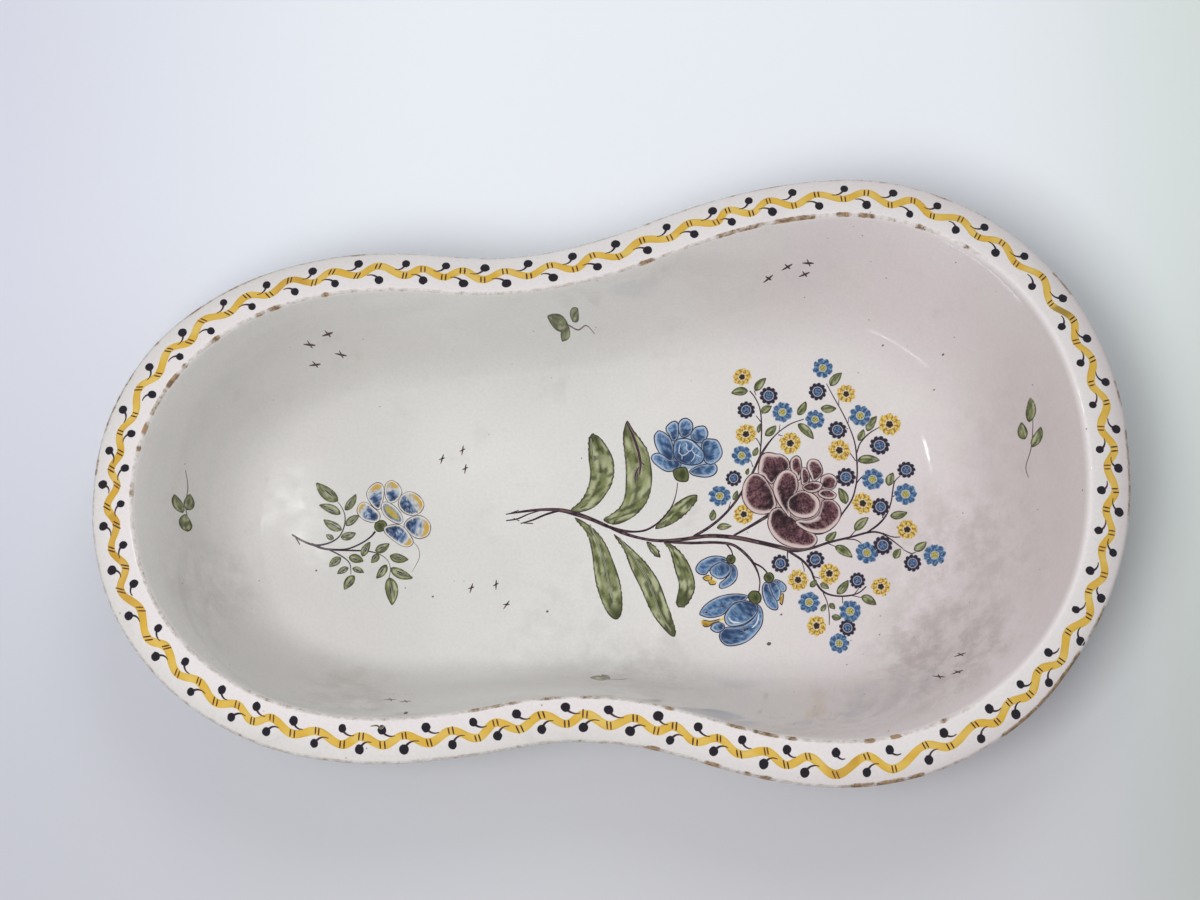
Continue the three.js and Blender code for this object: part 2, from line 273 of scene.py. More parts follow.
def make_mesh(name, points, faces, colours=None, normals=None, **attributes):
    """One object with its place in its mesh. points are in mm."""
    mesh = bpy.data.meshes.new(name)
    mesh.from_pydata(np.round(points * MM, 8).tolist(), [], [list(f) for f in faces])
    mesh.polygons.foreach_set("use_smooth", np.ones(len(mesh.polygons), bool))
    if colours is not None:
        layer = mesh.color_attributes.new("paint", "FLOAT_COLOR", "POINT")
        layer.data.foreach_set("color", colours.astype(np.float32).ravel())
    for key, values in attributes.items():
        layer = mesh.attributes.new(key, "FLOAT", "POINT")
        layer.data.foreach_set("value", values.astype(np.float32).ravel())
    if normals is not None:
        mesh.normals_split_custom_set_from_vertices(normals.tolist())
    mesh.update()
    piece = bpy.data.objects.new(name, mesh)
    bpy.context.collection.objects.link(piece)
    return piece


# Materials. Places in them are in metres, and the sizes of patterns in millimetres.
GLAZE_IOR = 1.5  # index of refraction of a lead and tin glaze
PEEL_DEPTH, SAND_DEPTH = 0.00014, 0.0004  # m
PINHOLE_GAP = 9  # mm from one place where a pinhole may lie to the next
# Settings of nodes, whose inputs go by number. MapRange gives 0 where input 0 has the value of input
# 1, 1 where it has that of input 2, and a smooth S between; inputs 3 and 4 take the place of that 0
# and 1. Mix goes from colour 6 to colour 7 as its input 0 goes from 0 to 1.
SMOOTH, BLEND = {"interpolation_type": "SMOOTHSTEP"}, {"data_type": "RGBA"}
TIMES, PLUS, LESS, LARGER = (
    {"operation": name} for name in ("MULTIPLY", "ADD", "SUBTRACT", "MAXIMUM")
)


def rgba(code):
    """Linear colour of an sRGB hex code with a full alpha, as an input of a node takes it."""
    return (*linear(code), 1.0)


def add(tree, kind, settings=(), inputs=()):
    """Adds one node with its settings and gives its first output that is in use. An input takes a
    number, a place, a colour's hex code, or another node's output, which is linked to it."""
    node = tree.nodes.new("ShaderNode" + kind)
    for key, value in dict(settings).items():
        setattr(node, key, value)
    for key, value in dict(inputs).items():
        if isinstance(value, bpy.types.NodeSocket):
            tree.links.new(value, node.inputs[key])
        else:
            node.inputs[key].default_value = rgba(value) if isinstance(value, str) else value
    return next(output for output in node.outputs if output.enabled)


def lumps(where, size_mm, detail=3.0, rough=0.55):
    """Inputs of a cloudy pattern whose lumps are about size_mm wide."""
    return {"Vector": where, "Scale": 1000 / size_mm, "Detail": detail, "Roughness": rough}


def new_material(name):
    """Empty material with a Principled shader, its tree and its Object coordinates."""
    material = bpy.data.materials.new(name)
    material.use_nodes = True
    tree = material.node_tree
    shader = tree.nodes["Principled BSDF"]
    where = add(tree, "TexCoord").node.outputs["Object"]
    return material, tree, shader, where


def glassy(tree, shader, colour, rough, normal):
    """Connects the three sockets of a glaze and sets its index of refraction."""
    shader.inputs["IOR"].default_value = GLAZE_IOR
    for key, source in (("Base Color", colour), ("Roughness", rough), ("Normal", normal)):
        tree.links.new(source, shader.inputs[key])


# Where grime has settled in the basin: x, y and radius in mm, and how much of it.
GRIME = [
    (178, -34, 62, 0.34), (168, -86, 60, 0.46), (207, 24, 50, 0.14), (-140, -98, 42, 0.3),
    (-208, -30, 40, 0.22), (-135, -104, 30, 0.4), (10, -92, 50, 0.24), (-30, -55, 60, 0.14),
]


def glaze_tone(tree, where, x, y, z):
    """Milky white clouded with grey: pinker towards the large lobe, with painted shade that greys the
    near wall, the wall of the large end and the small lobe, and warmer on the rim."""
    cloud = add(tree, "TexNoise", (), lumps(where, 90))
    milky = add(tree, "MapRange", SMOOTH, {0: cloud, 1: 0.35, 2: 0.7})
    white = add(tree, "Mix", BLEND, {0: milky, 6: GLAZE_GREY, 7: GLAZE_MILK})
    cloud = add(tree, "TexNoise", (), lumps(where, 160))
    patchy = add(tree, "MapRange", SMOOTH, {0: cloud, 1: 0.2, 2: 0.6})
    large_lobe = add(tree, "MapRange", SMOOTH, {0: x, 1: -0.02, 2: 0.2})
    pink = add(tree, "Math", TIMES, {0: large_lobe, 1: patchy})
    white = add(tree, "Mix", BLEND, {0: pink, 6: white, 7: GLAZE_PINK})
    # Painted shade: grey is mixed in on the near wall, on the wall of the large end and in the small lobe,
    # where less light falls.
    near_wall = add(tree, "MapRange", SMOOTH, {0: y, 1: 0.1, 2: -0.02, 3: 0.02, 4: 0.15})
    large_end = add(tree, "MapRange", SMOOTH, {0: x, 1: 0.16, 2: 0.235, 4: 0.34})
    sides = add(tree, "Math", LARGER, {0: near_wall, 1: large_end})
    up_the_wall = add(tree, "MapRange", SMOOTH, {0: z, 1: 0.012, 2: 0.03})
    shade = add(tree, "Math", TIMES, {0: sides, 1: up_the_wall})
    small_lobe = add(tree, "MapRange", SMOOTH, {0: x, 1: -0.04, 2: -0.17, 4: 0.19})
    shade = add(tree, "Math", LARGER, {0: shade, 1: small_lobe})
    white = add(tree, "Mix", BLEND, {0: shade, 6: white, 7: GRIME_AND_SHADE_GREY})
    inside = add(tree, "Attribute", {"attribute_name": "wall"}).node.outputs["Fac"]
    high_up = add(tree, "MapRange", SMOOTH, {0: z, 1: 0.066, 2: 0.076})
    warm = add(tree, "Math", LESS, {0: high_up, 1: inside})
    warm = add(tree, "Math", LARGER, {0: warm, 1: 0})
    return add(tree, "Mix", BLEND, {0: warm, 6: white, 7: GLAZE_WARM})


def settled_grime(tree, where, x, y, z):
    """How much grey-brown grime lies where water stood, below the lip and broken up in patches."""
    flat = add(tree, "CombineXYZ", (), {0: x, 1: y})
    grime = 0
    for middle_x, middle_y, radius, much in GRIME:
        centre = (middle_x * MM, middle_y * MM, 0)
        away = add(tree, "VectorMath", {"operation": "DISTANCE"}, {0: flat, 1: centre})
        here = add(tree, "MapRange", SMOOTH, {0: away, 1: radius * MM, 2: radius * MM * 0.2, 4: much})
        grime = add(tree, "Math", LARGER, {0: grime, 1: here})
    below_lip = add(tree, "MapRange", SMOOTH, {0: z, 1: 0.074, 2: 0.066})
    grime = add(tree, "Math", TIMES, {0: grime, 1: below_lip})
    cloud = add(tree, "TexNoise", (), lumps(where, 14, detail=7, rough=0.72))
    patchy = add(tree, "MapRange", SMOOTH, {0: cloud, 1: 0.36, 2: 0.66})
    return add(tree, "Math", TIMES, {0: grime, 1: patchy})


def pinholes(tree, where):
    """1 in scattered holes where gas came through the melting glaze, 0 elsewhere. They are drawn
    about 0.8 mm wide, wider than most real ones, so that they show."""
    away = add(tree, "TexVoronoi", {"feature": "F1"}, {"Vector": where, "Scale": 1000 / PINHOLE_GAP})
    hole = add(tree, "MapRange", SMOOTH, {0: away, 1: 0.062, 2: 0.03})
    cloud = add(tree, "TexNoise", (), lumps(where, 22, detail=1))
    rare = add(tree, "MapRange", SMOOTH, {0: cloud, 1: 0.5, 2: 0.54})
    return add(tree, "Math", TIMES, {0: hole, 1: rare})


def tin_glaze(tree, where):
    """Tin glaze as it cools on clay: milky white with grey and pink clouds, painted shade on the near
    wall, the large end's wall and the small lobe, grey-brown grime where water stood, faint streaks
    and grain, scattered pinholes, and a soft orange-peel surface. Gives the sockets of colour,
    roughness and normal."""
    x, y, z = add(tree, "SeparateXYZ", (), {0: where}).node.outputs
    white = glaze_tone(tree, where, x, y, z)
    grime = settled_grime(tree, where, x, y, z)
    white = add(tree, "Mix", BLEND, {0: grime, 6: white, 7: GRIME_AND_SHADE_GREY})
    streaks = add(tree, "TexNoise", (), lumps(where, 26, detail=5, rough=0.65))
    grain = add(tree, "TexNoise", (), lumps(where, 1.6, detail=4, rough=0.7))
    for pattern, low, high, much in ((streaks, 0.56, 0.8, 0.16), (grain, 0.3, 0.75, 0.1)):
        dirt = add(tree, "MapRange", SMOOTH, {0: pattern, 1: low, 2: high, 4: much})
        white = add(tree, "Mix", BLEND, {0: dirt, 6: white, 7: GRIME_AND_SHADE_GREY})
    hole = pinholes(tree, where)
    dark = add(tree, "Math", TIMES, {0: hole, 1: 0.75})
    white = add(tree, "Mix", BLEND, {0: dark, 6: white, 7: PINHOLE})
    fine = add(tree, "TexNoise", (), lumps(where, 3.2))
    peel = add(tree, "Math", TIMES, {0: fine, 1: 0.09})
    broad = add(tree, "TexNoise", (), lumps(where, 18, detail=2))
    peel = add(tree, "Math", PLUS, {0: peel, 1: broad})
    dent = add(tree, "Math", TIMES, {0: hole, 1: 0.1})
    peel = add(tree, "Math", LESS, {0: peel, 1: dent})
    normal = add(tree, "Bump", (), {"Strength": 0.5, "Distance": PEEL_DEPTH, "Height": peel})
    cloud = add(tree, "TexNoise", (), lumps(where, 12, detail=4))
    rough = add(tree, "MapRange", SMOOTH, {0: cloud, 1: 0.3, 2: 0.7, 3: 0.05, 4: 0.11})
    return white, rough, normal


def painted_glaze(name, grain_mm, grain_depth, dark, low, high):
    """In-glaze paint: metal oxides brushed on the raw glaze and melted into it, so the gloss is the
    glaze's own, the edges are soft and the colour breaks up in grains. The mesh attribute 'paint'
    holds the colour, and its alpha how much of it covers the glaze."""
    material, tree, shader, where = new_material(name)
    white, rough, normal = tin_glaze(tree, where)
    paint = add(tree, "Attribute", {"attribute_name": "paint"})
    cover = paint.node.outputs["Alpha"]
    tone = add(tree, "RGBToBW", (), {0: paint})
    strong = add(tree, "MapRange", SMOOTH, {0: tone, 1: 0.45, 2: 0.12})
    cloud = add(tree, "TexNoise", (), lumps(where, grain_mm, detail=4, rough=0.7))
    grain = add(tree, "MapRange", SMOOTH, {0: cloud, 1: low, 2: high})
    grain = add(tree, "Math", TIMES, {0: grain, 1: strong})
    grain = add(tree, "Math", TIMES, {0: grain, 1: grain_depth})
    deeper = add(tree, "Mix", BLEND, {0: grain, 6: paint, 7: dark})
    stained = add(tree, "Gamma", (), {"Color": deeper, "Gamma": cover})
    uncovered = add(tree, "Math", LESS, {0: 1, 1: cover})
    left = add(tree, "Gamma", (), {"Color": white, "Gamma": uncovered})
    colour = add(tree, "Mix", {**BLEND, "blend_type": "MULTIPLY"}, {0: 1, 6: stained, 7: left})
    glassy(tree, shader, colour, rough, normal)
    return material


def worn_glaze(name):
    """The bare tin glaze. Where the attribute 'wear' is high, on the lip and the outer edge, the
    glaze has chipped off and the tan clay shows through, rough and grubby."""
    material, tree, shader, where = new_material(name)
    white, rough, normal = tin_glaze(tree, where)
    wear = add(tree, "Attribute", {"attribute_name": "wear"}).node.outputs["Fac"]
    cloud = add(tree, "TexNoise", (), lumps(where, 3.4, detail=5, rough=0.75))
    pits = add(tree, "Math", PLUS, {0: wear, 1: cloud})
    worn = add(tree, "MapRange", SMOOTH, {0: wear, 1: 0.28, 2: 0.46})
    beside = add(tree, "MapRange", SMOOTH, {0: pits, 1: 0.76, 2: 1.0, 4: 0.7})
    grubby = add(tree, "Math", TIMES, {0: worn, 1: beside})
    white = add(tree, "Mix", BLEND, {0: grubby, 6: white, 7: LIP_STAIN})
    cloud = add(tree, "TexNoise", (), lumps(where, 2.6, detail=4))
    patchy = add(tree, "MapRange", SMOOTH, {0: cloud, 1: 0.38, 2: 0.62})
    clay = add(tree, "Mix", BLEND, {0: patchy, 6: CLAY_TAN, 7: CLAY_DARK})
    bare = add(tree, "MapRange", SMOOTH, {0: pits, 1: 0.98, 2: 1.05})
    chipped = add(tree, "Math", TIMES, {0: bare, 1: 0.85})
    colour = add(tree, "Mix", BLEND, {0: chipped, 6: white, 7: clay})
    dry = add(tree, "Math", TIMES, {0: bare, 1: 0.8})
    rough = add(tree, "Math", LARGER, {0: rough, 1: dry})
    glassy(tree, shader, colour, rough, normal)
    return material


def bare_clay(name):
    """Unglazed fired earthenware: dry, buff to tan, with darker specks and sand grains. They are
    drawn about a millimetre wide, coarser than most real ones, so that they show."""
    material, tree, shader, where = new_material(name)
    cloud = add(tree, "TexNoise", (), lumps(where, 35, detail=4))
    patchy = add(tree, "MapRange", SMOOTH, {0: cloud, 1: 0.3, 2: 0.7})
    colour = add(tree, "Mix", BLEND, {0: patchy, 6: CLAY_BUFF, 7: CLAY_SAND})
    cloud = add(tree, "TexNoise", (), lumps(where, 1.2, rough=0.7))
    speck = add(tree, "MapRange", SMOOTH, {0: cloud, 1: 0.6, 2: 0.75, 4: 0.6})
    colour = add(tree, "Mix", BLEND, {0: speck, 6: colour, 7: CLAY_DARK})
    grains = add(tree, "TexNoise", (), lumps(where, 0.9))
    sand = add(tree, "Bump", (), {"Strength": 0.5, "Distance": SAND_DEPTH, "Height": grains})
    shader.inputs["Roughness"].default_value = 0.9
    tree.links.new(colour, shader.inputs["Base Color"])
    tree.links.new(sand, shader.inputs["Normal"])
    return material


GLAZE_LOOK = worn_glaze("tin_glaze_fired")
CLAY_LOOK = bare_clay("buff_earthenware_unglazed")
# Pigments: slot, material, size of the grains in mm, how deep they tint, their colour, and the
# values of the cloudy pattern between which they set in. Real grains are finer: these are as coarse
# as they need to be to show.
PIGMENTS = [
    ("ochre_paint", "antimony_yellow_in_glaze", 1.4, 0.12, OCHRE_DEEP, 0.35, 0.68),
    ("blue_paint", "cobalt_blue_in_glaze", 1.2, 0.4, "#233c68", 0.47, 0.64),
    ("green_paint", "copper_green_in_glaze", 1.1, 0.4, GREEN_DEEP, 0.42, 0.66),
    ("purple_paint", "manganese_purple_in_glaze", 1.2, 0.85, "#1d1016", 0.48, 0.59),
    ("dark_paint", "manganese_ink_in_glaze", 0.8, 0.3, INK, 0.35, 0.68),
]
PAINTS = {slot: painted_glaze(*recipe) for slot, *recipe in PIGMENTS}


# The clay body and the glaze coat.
STATIONS, CLAY_STATIONS = 540, 300  # even steps round the edge, of the coat and of the clay
# Rows of the coat: on the floor, up the wall, over the lip and along the rim, then round the nose,
# in the corner under the rim and down the outer wall.
DISC_ROWS, WALL_ROWS, LIP_ROWS, RIM_ROWS = 23, 45, 9, 20
NOSE_ROWS, CORNER_ROWS, OUTER_ROWS = 15, 6, 17
UNDER_RIM = (8.0, 11.0, 14.5)  # insets of the rows under the rim, in mm
WALL_REACH, WALL_CROWDING = 0.965, 1.15  # how far up the wall its rows go, and how they spread
LIP_FADE = 4  # rows above the wall over which its tone changes to the rim's
CORNER_FROM, CORNER_TO = 0.09, 0.2  # shares of the outer wall where the corner bends, and ends
CLAY_DEEP = GLAZE + 0.35  # mm from the glaze's surface to the clay
BARE_FROM, BARE_ROWS = 0.88, (0.9, 0.93, 0.965)  # shares of the outer wall where clay comes out
FLAT_DEEP, FLAT_AT, FLAT_REACH = 3.2, 805, 48  # mm: the flattened stretch of the edge at its far right
LIP_ROUND = 1.3  # how far the soft lip reaches from its corner over the rim, in mm
SKIN_END = 0.862  # share of the outer wall where the glaze stops, just above the table


def edge_inset(s):
    """How far the outer edge, knocked and uneven, lies inside the nominal one, in mm."""
    flat = FLAT_DEEP * np.exp(-(((s - FLAT_AT) / FLAT_REACH) ** 2))
    return 0.25 + flat + 0.21 * (1 + np.sin(s / 23 + 1)) + 0.12 * (1 + np.sin(s / 9.1))


def wall_line(run, t, deep):
    """The wall's face at share t, and deep mm under it, as p and z of a section."""
    u, v = wall_share(t)
    du = 3 * (1 - t) ** 2 * LIP_RUN + 6 * (1 - t) * t * (FOOT_RUN - LIP_RUN) + 3 * t * t * (1 - FOOT_RUN)
    dv = 3 * (1 - t) ** 2 * LIP_DROP + 6 * (1 - t) * t * (1 - LIP_DROP)
    along, fall = run * du, -(HEIGHT - FLOOR) * dv
    size = np.hypot(along, fall)
    return RIM_WIDTH + run * u + fall / size * deep, HEIGHT - (HEIGHT - FLOOR) * v - along / size * deep


def outer_line(run, t, deep):
    """The same for the wall's outer face."""
    return wall_line(run, t, WALL_TOP + (WALL_FOOT - WALL_TOP) * t - deep)


def bend(first, corner, last, steps):
    """Rows of a soft corner between two rows: a quadratic curve that leans towards the corner."""
    return [
        tuple((1 - a) ** 2 * first[i] + 2 * (1 - a) * a * corner[i] + a * a * last[i] for i in (0, 1))
        for a in np.linspace(0, 1, steps)
    ]


def skin(s, run, deep):
    """Rows of a section deep mm under the visible surface, each p and z at every station: from the
    floor's edge up the wall, over the soft lip, out along the rim, round the rolled nose, back
    under the rim and down the outer wall to where the glaze ends."""
    ones, start, nose = np.ones_like(s), edge_inset(s), RIM_THICKNESS / 2
    rows = []
    for t in 1 - np.linspace(0, WALL_REACH, WALL_ROWS) ** WALL_CROWDING:
        p, z = wall_line(run, t * ones, deep)
        rows.append((p, z + swell(wall_share(t)[1])))
    top_p = RIM_WIDTH - LIP_ROUND
    top = (top_p * ones, (rim_top(top_p)[0] - deep) * ones)
    corner = ((RIM_WIDTH - 0.5 * deep) * ones, (HEIGHT - deep) * ones)
    rows += bend(rows[-1], corner, top, LIP_ROWS)[1:]
    shoulder = start + 0.75 * nose
    for a in np.linspace(0, 1, RIM_ROWS)[1:]:
        p = top_p + (shoulder - top_p) * a
        rows.append((p, rim_top(p)[0] - deep))
    z0, slope = rim_top(shoulder)
    size = np.hypot(slope, 1)
    middle = (shoulder + slope / size * nose, z0 - nose / size)
    begin = np.arctan2(1, -slope)
    reach = (middle[0] - start - deep) / (nose - deep)
    for a in np.linspace(0, 1, NOSE_ROWS)[1:]:
        turn = begin + np.pi * a
        wide = (nose - deep) * np.cos(turn) * np.where(np.cos(turn) < 0, reach, 1)
        rows.append((middle[0] + wide, middle[1] + (nose - deep) * np.sin(turn)))
    for p in UNDER_RIM:
        p = np.maximum(p, start + nose + 1.5)
        rows.append((p, rim_top(p)[0] - RIM_THICKNESS + deep))
    corner, below = (outer_line(run, t * ones, deep) for t in (CORNER_FROM, CORNER_TO))
    rows += bend(rows[-1], corner, below, CORNER_ROWS)[1:]
    down = np.linspace(CORNER_TO, SKIN_END, OUTER_ROWS)[1:]
    return rows + [outer_line(run, t * ones, deep) for t in down]


def sweep(rows, at):
    """Carries section rows round the outline: points of each row at every station, in plan."""
    sheets = []
    for p, z in rows:
        on, over = np.minimum(p, RIM_WIDTH)[:, None], np.clip(p - RIM_WIDTH, 0, None)[:, None]
        sheets.append(np.c_[at["edge"] + at["into"] * on + at["down"] * over, z])
    return sheets


def stations(count):
    """Plan tables at even stations round the edge, with the wall's run and its direction."""
    s = ROUND * np.arange(count) / count
    at = {name: plan(name, s) for name in PLAN}
    run = np.hypot(*(at["foot"] - at["lip"]).T)
    at["down"] = (at["foot"] - at["lip"]) / run[:, None]
    return s, run, at


def glaze_coat():
    """The glaze as one closed surface: its outer skin with the floor filled in to a point, and the
    same skin 0.6 mm deeper, which comes back to a point under the floor."""
    s, run, at = stations(STATIONS)
    centre = np.array([0.0, PLAN_SHIFT])
    floor_z = FLOOR + swell(1.0)
    disc = lambda share, z: np.c_[centre + (at["foot"] - centre) * share, np.full(STATIONS, z)]
    sheets = [disc(share, floor_z) for share in np.linspace(0, 1, DISC_ROWS + 2)[1:-1] ** 0.8]
    sheets += sweep(skin(s, run, 0.0), at)
    outer = len(sheets)
    sheets += sweep(skin(s, run, GLAZE)[::-3], at) + [disc(0.5, floor_z - GLAZE)]
    poles = [[0, PLAN_SHIFT, floor_z], [0, PLAN_SHIFT, floor_z - GLAZE]]
    points = np.concatenate([*sheets, poles])
    points[:, 2] += ripple(points[:, 0], points[:, 1])
    rows, j = len(sheets), np.arange(STATIONS)
    beside, top_pole, last = (j + 1) % STATIONS, rows * STATIONS, (rows - 1) * STATIONS
    faces = grid_faces(rows, STATIONS, wrap_columns=True).tolist()
    faces += np.stack([np.full(STATIONS, top_pole), beside, j], 1).tolist()
    faces += np.stack([np.full(STATIONS, top_pole + 1), last + j, last + beside], 1).tolist()
    wear = wear_of(s, at, np.array(sheets))
    wear[outer:] = 0
    above = np.arange(rows) - DISC_ROWS - WALL_ROWS
    wall = np.repeat(np.clip((LIP_FADE - above) / LIP_FADE, 0, 1), STATIONS)
    return points, faces, np.r_[wear.ravel(), 0, 0], np.r_[wall, 1, 1]


def clay_body():
    """The clay wall and rim, CLAY_DEEP under the glaze's surface, down to the foot on the table."""
    s, run, at = stations(CLAY_STATIONS)
    ones = np.ones_like(s)
    rows = skin(s, run, CLAY_DEEP)[::3]
    rows += [outer_line(run, t * ones, CLAY_DEEP * (1 - t) / (1 - BARE_FROM)) for t in BARE_ROWS]
    rows += [(RIM_WIDTH + run, 0.02 * ones), (RIM_WIDTH + run, (FLOOR - 2) * ones)]
    points = np.concatenate(sweep(rows, at))
    points[:, 2] += ripple(points[:, 0], points[:, 1]) * rise(6, 12, points[:, 2])
    return points, grid_faces(len(rows), CLAY_STATIONS, wrap_rows=True, wrap_columns=True).tolist()


# Worn stretches as (from, to, how much), in mm round the outer edge from the small end's tip.
LIP_WEAR = [
    (8, 17, 0.5), (37, 41, 0.6), (48, 55, 0.6), (60, 79, 0.45), (82, 93, 0.65), (97, 101, 0.6),
    (121, 127, 0.6), (151, 158, 0.5), (161, 169, 0.55), (194, 197, 0.6), (356, 362, 0.6), (396, 425, 0.52),
    (430, 455, 0.55), (468, 475, 0.6), (480, 492, 0.55), (516, 522, 0.6), (547, 551, 0.5), (892, 895, 0.6),
    (920, 926, 0.6), (937, 942, 0.7), (980, 986, 0.6), (991, 1005, 0.58), (1010, 1021, 0.55),
    (1045, 1050, 0.6), (1079, 1087, 0.5), (1095, 1105, 0.5), (1115, 1140, 0.5), (1237, 1267, 0.4),
    (1303, 1316, 0.4), (1327, 1350, 0.42), (1360, 1372, 0.4),
]
EDGE_WEAR = [
    (22, 30, 0.55), (45, 80, 0.5), (97, 101, 0.6), (118, 135, 0.5), (140, 165, 0.5), (208, 220, 0.5),
    (365, 369, 0.6), (425, 440, 0.45), (490, 495, 0.5), (520, 530, 0.5), (595, 610, 0.55), (660, 675, 0.5),
    (685, 735, 0.5), (780, 800, 0.5), (808, 868, 0.62), (912, 920, 0.66), (923, 937, 0.66), (938, 950, 0.6),
    (990, 995, 0.66), (1002, 1004, 0.6), (1017, 1024, 0.66), (1049, 1054, 0.66),
]


def worn_along(s, stretches, low):
    """Wear along a line: low everywhere, half of that at the large end, and more on each stretch,
    with soft ends."""
    large_end = rise(550, 600, s) * (1 - rise(840, 880, s))
    total = low * (1 - 0.5 * large_end)
    for start, stop, much in stretches:
        inside = rise(start - 2, start + 1, s) * (1 - rise(stop - 1, stop + 2, s))
        total = np.maximum(total, much * inside)
    return total


def wear_of(s, at, stack):
    """Wear at each point: along the lip and along the outer edge, gone within 3 mm of them."""
    lip_gap = np.linalg.norm(stack - np.c_[at["lip"], np.full(len(s), HEIGHT - 0.6)], axis=2)
    edge_xy = at["edge"] + at["into"] * edge_inset(s)[:, None]
    edge_gap = np.hypot(*np.moveaxis(stack[:, :, :2] - edge_xy, 2, 0))
    upper = rise(-4, -2.6, stack[:, :, 2] - (HEIGHT - RIM_DROP))
    lip_worn = worn_along(s, LIP_WEAR, 0.38) * (1 - rise(0.9, 2.3, lip_gap))
    edge_worn = worn_along(s, EDGE_WEAR, 0.4) * (1 - rise(0.9, 2.9, edge_gap)) * upper
    return np.maximum(lip_worn, edge_worn)


def build_pan():
    """The glaze coat and the clay under it. The floor slab stays the CAD's, with the look of clay."""
    points, faces, wear, wall = glaze_coat()
    coat = make_mesh("tin_glaze_coat", points, faces, wear=wear, wall=wall)
    body = make_mesh("clay_wall_and_rim", *clay_body())
    for piece, look, slot, nodes in (
        (coat, GLAZE_LOOK, "white_glaze", ("basin_glaze", "rim_glaze", "outside_glaze")),
        (body, CLAY_LOOK, "clay", ("basin_wall", "rim_flange")),
    ):
        piece.data.materials.append(look)
        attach(piece, "root")
        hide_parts(*nodes)
    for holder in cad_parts["floor_slab"].material_slots:
        holder.material = CLAY_LOOK


# Brushwork.
LIFT = 0.07  # mm: paint lies this far proud of the glaze, and each later layer a little more
LAYER = 0.014
OUTLINE_STEPS = 260  # points on a filled shape's outline
TOOTH, TOOTH_SWELL = 3.1, 5.3  # mm: length of a tooth, and of the slow change of their size


def smooth_line(points, count, closed=False):
    """Smooth curve through given points: a Catmull-Rom spline at count even steps."""
    knots = np.array(points, float)
    m = len(knots)
    if closed:
        t = np.arange(count) * m / count
        i = t.astype(int)
        at = lambda k: knots[k % m]
    else:
        t = np.linspace(0, m - 1, count)
        i = np.minimum(t.astype(int), m - 2)
        padded = np.concatenate([[2 * knots[0] - knots[1]], knots, [2 * knots[-1] - knots[-2]]])
        at = lambda k: padded[k + 1]
    f = (t - i)[:, None]
    p0, p1, p2, p3 = at(i - 1), at(i), at(i + 1), at(i + 2)
    bent = (2 * p0 - 5 * p1 + 4 * p2 - p3) * f**2 + (3 * p1 - p0 - 3 * p2 + p3) * f**3
    return 0.5 * (2 * p1 + (p2 - p0) * f + bent)


def resample(line, shares):
    """Points of a line at shares of its length."""
    gone = np.r_[0, np.cumsum(np.hypot(*np.diff(line, axis=0).T))]
    return np.stack([np.interp(shares * gone[-1], gone, line[:, i]) for i in (0, 1)], 1)


def from_outline(x, y, ring):
    """Distance of points from a closed line, as the least over its segments."""
    a, b = ring, np.roll(ring, -1, 0)
    ab = b - a
    px, py = x.ravel()[:, None] - a[None, :, 0], y.ravel()[:, None] - a[None, :, 1]
    share = np.clip((px * ab[:, 0] + py * ab[:, 1]) / (np.sum(ab**2, 1) + 1e-12), 0, 1)
    return np.hypot(px - share * ab[:, 0], py - share * ab[:, 1]).min(1).reshape(x.shape)


def blend(first, second, share):
    """Mix of two linear colours, by an array of shares."""
    return first + (second - first) * np.clip(share, 0, 1)[..., None]


def stain(colours, code, share):
    """Tints colours that have a cover with one more colour, and leaves the cover as it is."""
    colours[..., :3] = blend(colours[..., :3], linear(code), share)


def with_cover(colour, cover):
    """A colour with how much of it covers the glaze, from 0 to 1, as its fourth value."""
    return np.concatenate([colour, np.clip(cover, 0, 1)[..., None]], -1)


class Sheet:
    """Painted shapes that share one pigment and become one piece."""

    def __init__(self, name, slot, surface=on_basin):
        """Starts an empty piece that will lie on the basin's face or on the rim."""
        self.name, self.slot, self.surface = name, slot, surface
        self.points, self.normals, self.colours, self.faces = [], [], [], []
        self.count = 0

    def lay(self, a, b, colours, layer=0, wrap=False, sink=0.0):
        """Lays a grid of plan points on the surface. Where sink is 1 they touch the glaze."""
        height = (LIFT + LAYER * layer) * (1 - sink) + 0 * a
        here = self.surface(a, b, height)
        along = self.surface(a + 0.2, b, height) - here
        across = self.surface(a, b + 0.2, height) - here
        normal = np.cross(along, across)
        normal *= np.sign(normal[..., 2:])
        normal /= np.linalg.norm(normal, axis=-1)[..., None]
        faces = grid_faces(*a.shape, wrap_columns=wrap)
        corner = here[..., :2].reshape(-1, 2)[faces]
        spin = np.cross(corner[:, 1] - corner[:, 0], corner[:, 2] - corner[:, 0]).sum()
        self.points.append(here.reshape(-1, 3))
        self.normals.append(normal.reshape(-1, 3))
        self.colours.append(colours.reshape(-1, 4))
        self.faces.append((faces if spin > 0 else faces[:, ::-1]) + self.count)
        self.count += a.size

    def finish(self):
        """Makes the piece, with the pigment of its slot."""
        points, faces = np.concatenate(self.points), np.concatenate(self.faces).tolist()
        colours, normals = np.concatenate(self.colours), np.concatenate(self.normals)
        piece = make_mesh(self.name, points, faces, colours, normals)
        piece.data.materials.append(PAINTS[self.slot])
        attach(piece, "root")
        return piece


# Shares across a stroke at which the points of each rib lie, from one edge to the other.
ACROSS = np.array([-1, -0.93, -0.8, -0.62, -0.4, -0.15, 0.15, 0.4, 0.62, 0.8, 0.93, 1])


